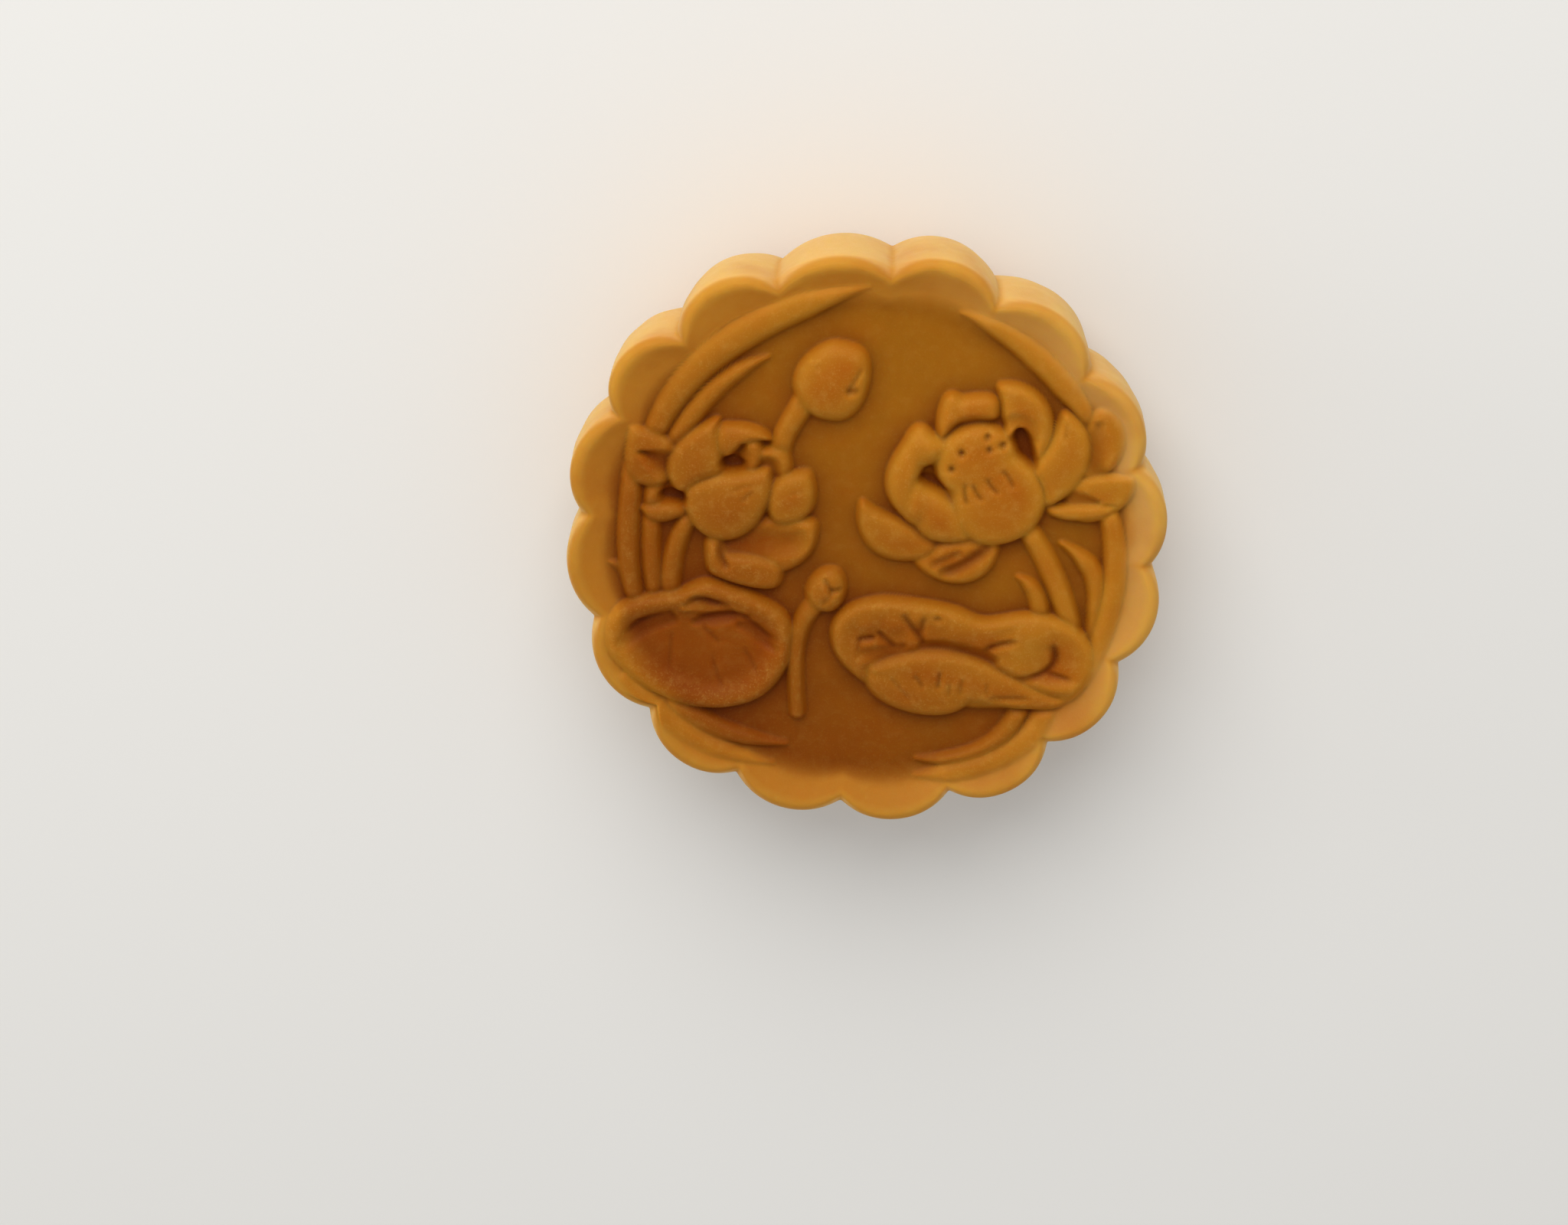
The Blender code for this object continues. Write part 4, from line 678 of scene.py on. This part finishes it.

# Painted shade: the face gets darker and redder towards the lower left, and the notches between the lobes
# are darkened as shade falls in them
LIT_WAY = (0.6, 0.8)
SIDE_SHADE_OVER = 60.0
NOTCH_FROM = 0.96
NOTCH_FADE = 0.04
NOTCH_SHADE_WIDTH = 0.3
shaded_side = np.clip(0.5 - (LIT_WAY[0] * points[:, 0] + LIT_WAY[1] * points[:, 1]) / SIDE_SHADE_OVER, 0, 1)
turn_of = np.arctan2(points[:, 1], points[:, 0])
out = np.hypot(points[:, 0], points[:, 1]) / rim_of(turn_of)[0]
outer_part = np.clip((out - NOTCH_FROM) / NOTCH_FADE, 0, 1)
past_notch = outline_radius(turn_of) - NOTCH_RADIUS - NOTCH_ROUNDING
notch = np.clip(1 - past_notch / NOTCH_SHADE_WIDTH, 0, 1) * outer_part
for name, values in (("shaded_side", shaded_side), ("notch", notch)):
    mesh.attributes.new(name, "FLOAT", "POINT").data.foreach_set("value", values.astype(np.float32))

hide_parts("mooncake")
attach(mooncake, "root")

# The crust. Thin golden dough, baked: pale gold on the wall, browner on the face, partly its baked tone and
# partly painted shade, and tan on the relief. Painted shade darkens the folds, the notches, the feet of the
# shapes and the lower left of the face, and a painted highlight runs along the crest. Close to, it is fine
# grained and lets a little light in.
crust = bpy.data.materials.new("baked_crust")
crust.use_nodes = True
nodes, links = crust.node_tree.nodes, crust.node_tree.links
shader = nodes["Principled BSDF"]
place = nodes.new("ShaderNodeTexCoord").outputs["Object"]


def noise(scale, detail, roughness=0.5):
    """Cloudy noise on the object's own coordinates; one cloud is about 1 / scale metres across."""
    node = nodes.new("ShaderNodeTexNoise")
    node.inputs["Scale"].default_value = scale
    node.inputs["Detail"].default_value = detail
    node.inputs["Roughness"].default_value = roughness
    links.new(place, node.inputs["Vector"])
    return node.outputs["Fac"]


def ramp(value, start, end, low=0.0, high=1.0):
    """Carries a value from start..end to low..high, and holds it there outside."""
    node = nodes.new("ShaderNodeMapRange")
    node.inputs["From Min"].default_value = start
    node.inputs["From Max"].default_value = end
    node.inputs["To Min"].default_value = low
    node.inputs["To Max"].default_value = high
    links.new(value, node.inputs["Value"])
    return node.outputs["Result"]


def times(one, two):
    """One value times another, or times a number."""
    node = nodes.new("ShaderNodeMath")
    node.operation = "MULTIPLY"
    links.new(one, node.inputs[0])
    if isinstance(two, float):
        node.inputs[1].default_value = two
    else:
        links.new(two, node.inputs[1])
    return node.outputs["Value"]


def stained(under, colour, share):
    """A colour laid over another by a share between 0 and 1."""
    node = nodes.new("ShaderNodeMix")
    node.data_type = "RGBA"
    links.new(share, node.inputs["Factor"])
    if isinstance(under, tuple):
        node.inputs["A"].default_value = (*under, 1.0)
    else:
        links.new(under, node.inputs["A"])
    node.inputs["B"].default_value = (*colour, 1.0)
    return node.outputs["Result"]


def attribute(name):
    """A value that the mesh holds at each point."""
    node = nodes.new("ShaderNodeAttribute")
    node.attribute_name = name
    return node.outputs["Fac"]


WALL_AND_LIT_GOLD = (0.66, 0.38, 0.11)
RIM_ORANGE_AND_NOTCH_SHADE = (0.58, 0.24, 0.022)
FACE_BROWN_AND_SHADE = (0.37, 0.135, 0.005)
RELIEF_TAN = (0.51, 0.22, 0.015)
PETAL_ORANGE_AND_SHADE = (0.40, 0.09, 0.001)
SHADED_SIDE_RED = (0.19, 0.026, 0.0004)
PAINTED_SHADE_BROWN = (0.13, 0.016, 0.0006)
OVEN_BROWN = (0.40, 0.16, 0.03)
SUGAR_PALE = (0.75, 0.47, 0.10)
CREST_HIGHLIGHT_GOLD = (0.66, 0.38, 0.05)

axes = nodes.new("ShaderNodeSeparateXYZ")
links.new(place, axes.inputs["Vector"])

blotches = noise(130.0, 2.0)
mottle = noise(750.0, 3.0, 0.6)
grain = noise(4200.0, 2.0, 0.6)
# The face is browner than the wall: partly its baked tone, partly painted shade
colour = stained(WALL_AND_LIT_GOLD, FACE_BROWN_AND_SHADE, attribute("face"))
colour = stained(colour, RIM_ORANGE_AND_NOTCH_SHADE, times(ramp(attribute("rim"), 0.0, 0.3), attribute("face")))
# Painted light: the rim's slope is golder towards the right, where light falls on it
from_left = ramp(axes.outputs["X"], 0.0, 0.028, 0.0, 0.7)
right = times(from_left, ramp(axes.outputs["Y"], -0.025, 0.01, 0.35, 1.0))
gold = times(ramp(attribute("rim"), 0.1, 0.5), right)
colour = stained(colour, WALL_AND_LIT_GOLD, times(gold, attribute("face")))
# Painted highlight along the rim's crest
crest_highlight = ramp(attribute("rim"), 0.8, 1.0, 0.0, 0.45)
colour = stained(colour, CREST_HIGHLIGHT_GOLD, times(crest_highlight, attribute("face")))
colour = stained(colour, RELIEF_TAN, ramp(attribute("raised"), 0.15, 0.95))
petal_orange = times(ramp(attribute("inner"), 0.1, 1.0), ramp(blotches, 0.3, 0.7, 0.4, 0.75))
colour = stained(colour, PETAL_ORANGE_AND_SHADE, petal_orange)
# Painted shade: orange at the feet of the shapes' steep sides
colour = stained(colour, PETAL_ORANGE_AND_SHADE, ramp(attribute("sides"), 0.0, 0.7, 0.0, 0.45))
colour = stained(colour, PETAL_ORANGE_AND_SHADE, ramp(blotches, 0.48, 0.8, 0.0, 0.35))
# Painted shade, darker and redder towards the lower left of the face
side_shade = times(ramp(attribute("shaded_side"), 0.25, 1.0, 0.0, 0.75), ramp(attribute("rim"), 0.0, 0.4, 1.0, 0.3))
colour = stained(colour, SHADED_SIDE_RED, times(side_shade, attribute("face")))
high_up = ramp(attribute("raised"), 0.5, 1.0, 0.3, 1.0)
colour = stained(colour, SUGAR_PALE, times(ramp(mottle, 0.5, 0.75, 0.0, 0.14), high_up))
colour = stained(colour, OVEN_BROWN, ramp(axes.outputs["Z"], 0.0035, 0.0, 0.0, 0.7))
# Painted shade: darker brown in hollows, crevices, folds and the holes below the ground, less of it on the
# rim
less_shade_on_rim = ramp(attribute("rim"), 0.02, 0.3, 0.6, 0.15)
colour = stained(colour, PAINTED_SHADE_BROWN, times(ramp(attribute("shade"), 0.05, 0.9), less_shade_on_rim))
colour = stained(colour, PAINTED_SHADE_BROWN, times(ramp(attribute("crevice"), 0.2, 1.0), 0.6))
colour = stained(colour, PAINTED_SHADE_BROWN, ramp(attribute("folds"), 0.1, 1.0, 0.0, 0.5))
# Painted shade in the notches between the lobes
colour = stained(colour, RIM_ORANGE_AND_NOTCH_SHADE, ramp(attribute("notch"), 0.0, 1.0, 0.0, 0.7))
colour = stained(colour, SUGAR_PALE, times(ramp(grain, 0.55, 0.8, 0.0, 0.22), high_up))
links.new(colour, shader.inputs["Base Color"])
links.new(ramp(mottle, 0.3, 0.7, 0.42, 0.58), shader.inputs["Roughness"])
shader.inputs["Specular IOR Level"].default_value = 0.06
shader.inputs["Subsurface Weight"].default_value = 0.8
shader.inputs["Subsurface Radius"].default_value = (1.0, 0.45, 0.15)
shader.inputs["Subsurface Scale"].default_value = 0.0012

fine = nodes.new("ShaderNodeBump")
fine.inputs["Strength"].default_value = 0.5
fine.inputs["Distance"].default_value = 0.00006
links.new(grain, fine.inputs["Height"])
coarse = nodes.new("ShaderNodeBump")
coarse.inputs["Strength"].default_value = 0.5
coarse.inputs["Distance"].default_value = 0.0001
links.new(mottle, coarse.inputs["Height"])
links.new(fine.outputs["Normal"], coarse.inputs["Normal"])
links.new(coarse.outputs["Normal"], shader.inputs["Normal"])
mesh.materials.append(crust)

# The table: a plain pale top, much wider than the view.
TABLE_REACH = 3.0
table_mesh = bpy.data.meshes.new("table")
table_corners = [(TABLE_REACH * x, TABLE_REACH * y, 0) for x, y in ((-1, -1), (1, -1), (1, 1), (-1, 1))]
table_mesh.from_pydata(table_corners, [], [(0, 1, 2, 3)])
table = bpy.data.objects.new("table", table_mesh)
bpy.context.scene.collection.objects.link(table)
pale = bpy.data.materials.new("pale_table")
pale.use_nodes = True
pale_shader = pale.node_tree.nodes["Principled BSDF"]
pale_shader.inputs["Base Color"].default_value = (0.86, 0.86, 0.85, 1.0)
pale_shader.inputs["Roughness"].default_value = 0.7
table_mesh.materials.append(pale)

# Studio light: a large soft panel beyond the picture's top edge, which lights the wall there and rakes over
# the face, a weak one low at the left, and an even pale room that fills the rest.
world = bpy.data.worlds.new("studio")
bpy.context.scene.world = world
world.use_nodes = True
world.node_tree.nodes["Background"].inputs["Color"].default_value = (1.0, 0.99, 0.97, 1.0)
world.node_tree.nodes["Background"].inputs["Strength"].default_value = 0.5
for name, stand, size, energy in (
    ("panel", (-0.15, 0.6, 0.5), 0.7, 4.8),
    ("left_panel", (-0.6, 0.1, 0.12), 0.3, 0.5),
):
    panel = bpy.data.lights.new(name, "AREA")
    panel.shape = "DISK"
    panel.size = size
    panel.energy = energy
    panel.color = (1.0, 0.97, 0.92)
    lamp = bpy.data.objects.new(name, panel)
    lamp.location = stand
    lamp.rotation_euler = Vector(stand).to_track_quat("Z", "Y").to_euler()
    bpy.context.scene.collection.objects.link(lamp)
bpy.context.scene.view_settings.view_transform = "Standard"

# The camera looks down on the lying cake from the side that the photograph saw it from. Its focal length is
# stated in pixels of the photograph, and its turn in degrees about x, y and z.
PHOTO_WIDTH_PIXELS = 2048.0
FOCAL_PIXELS = 4000.0
SENSOR_WIDTH = 36.0
CAMERA_PLACE = (-0.00884, 0.12887, 0.35788)
CAMERA_TURN = (-22.221, 1.892, 4.641)
lens = bpy.data.cameras.new("camera")
lens.sensor_width = SENSOR_WIDTH
lens.lens = SENSOR_WIDTH * FOCAL_PIXELS / PHOTO_WIDTH_PIXELS
lens.clip_start = 0.01
camera = bpy.data.objects.new("camera", lens)
camera.location = CAMERA_PLACE
camera.rotation_euler = np.radians(CAMERA_TURN).tolist()
bpy.context.scene.collection.objects.link(camera)
bpy.context.scene.camera = camera
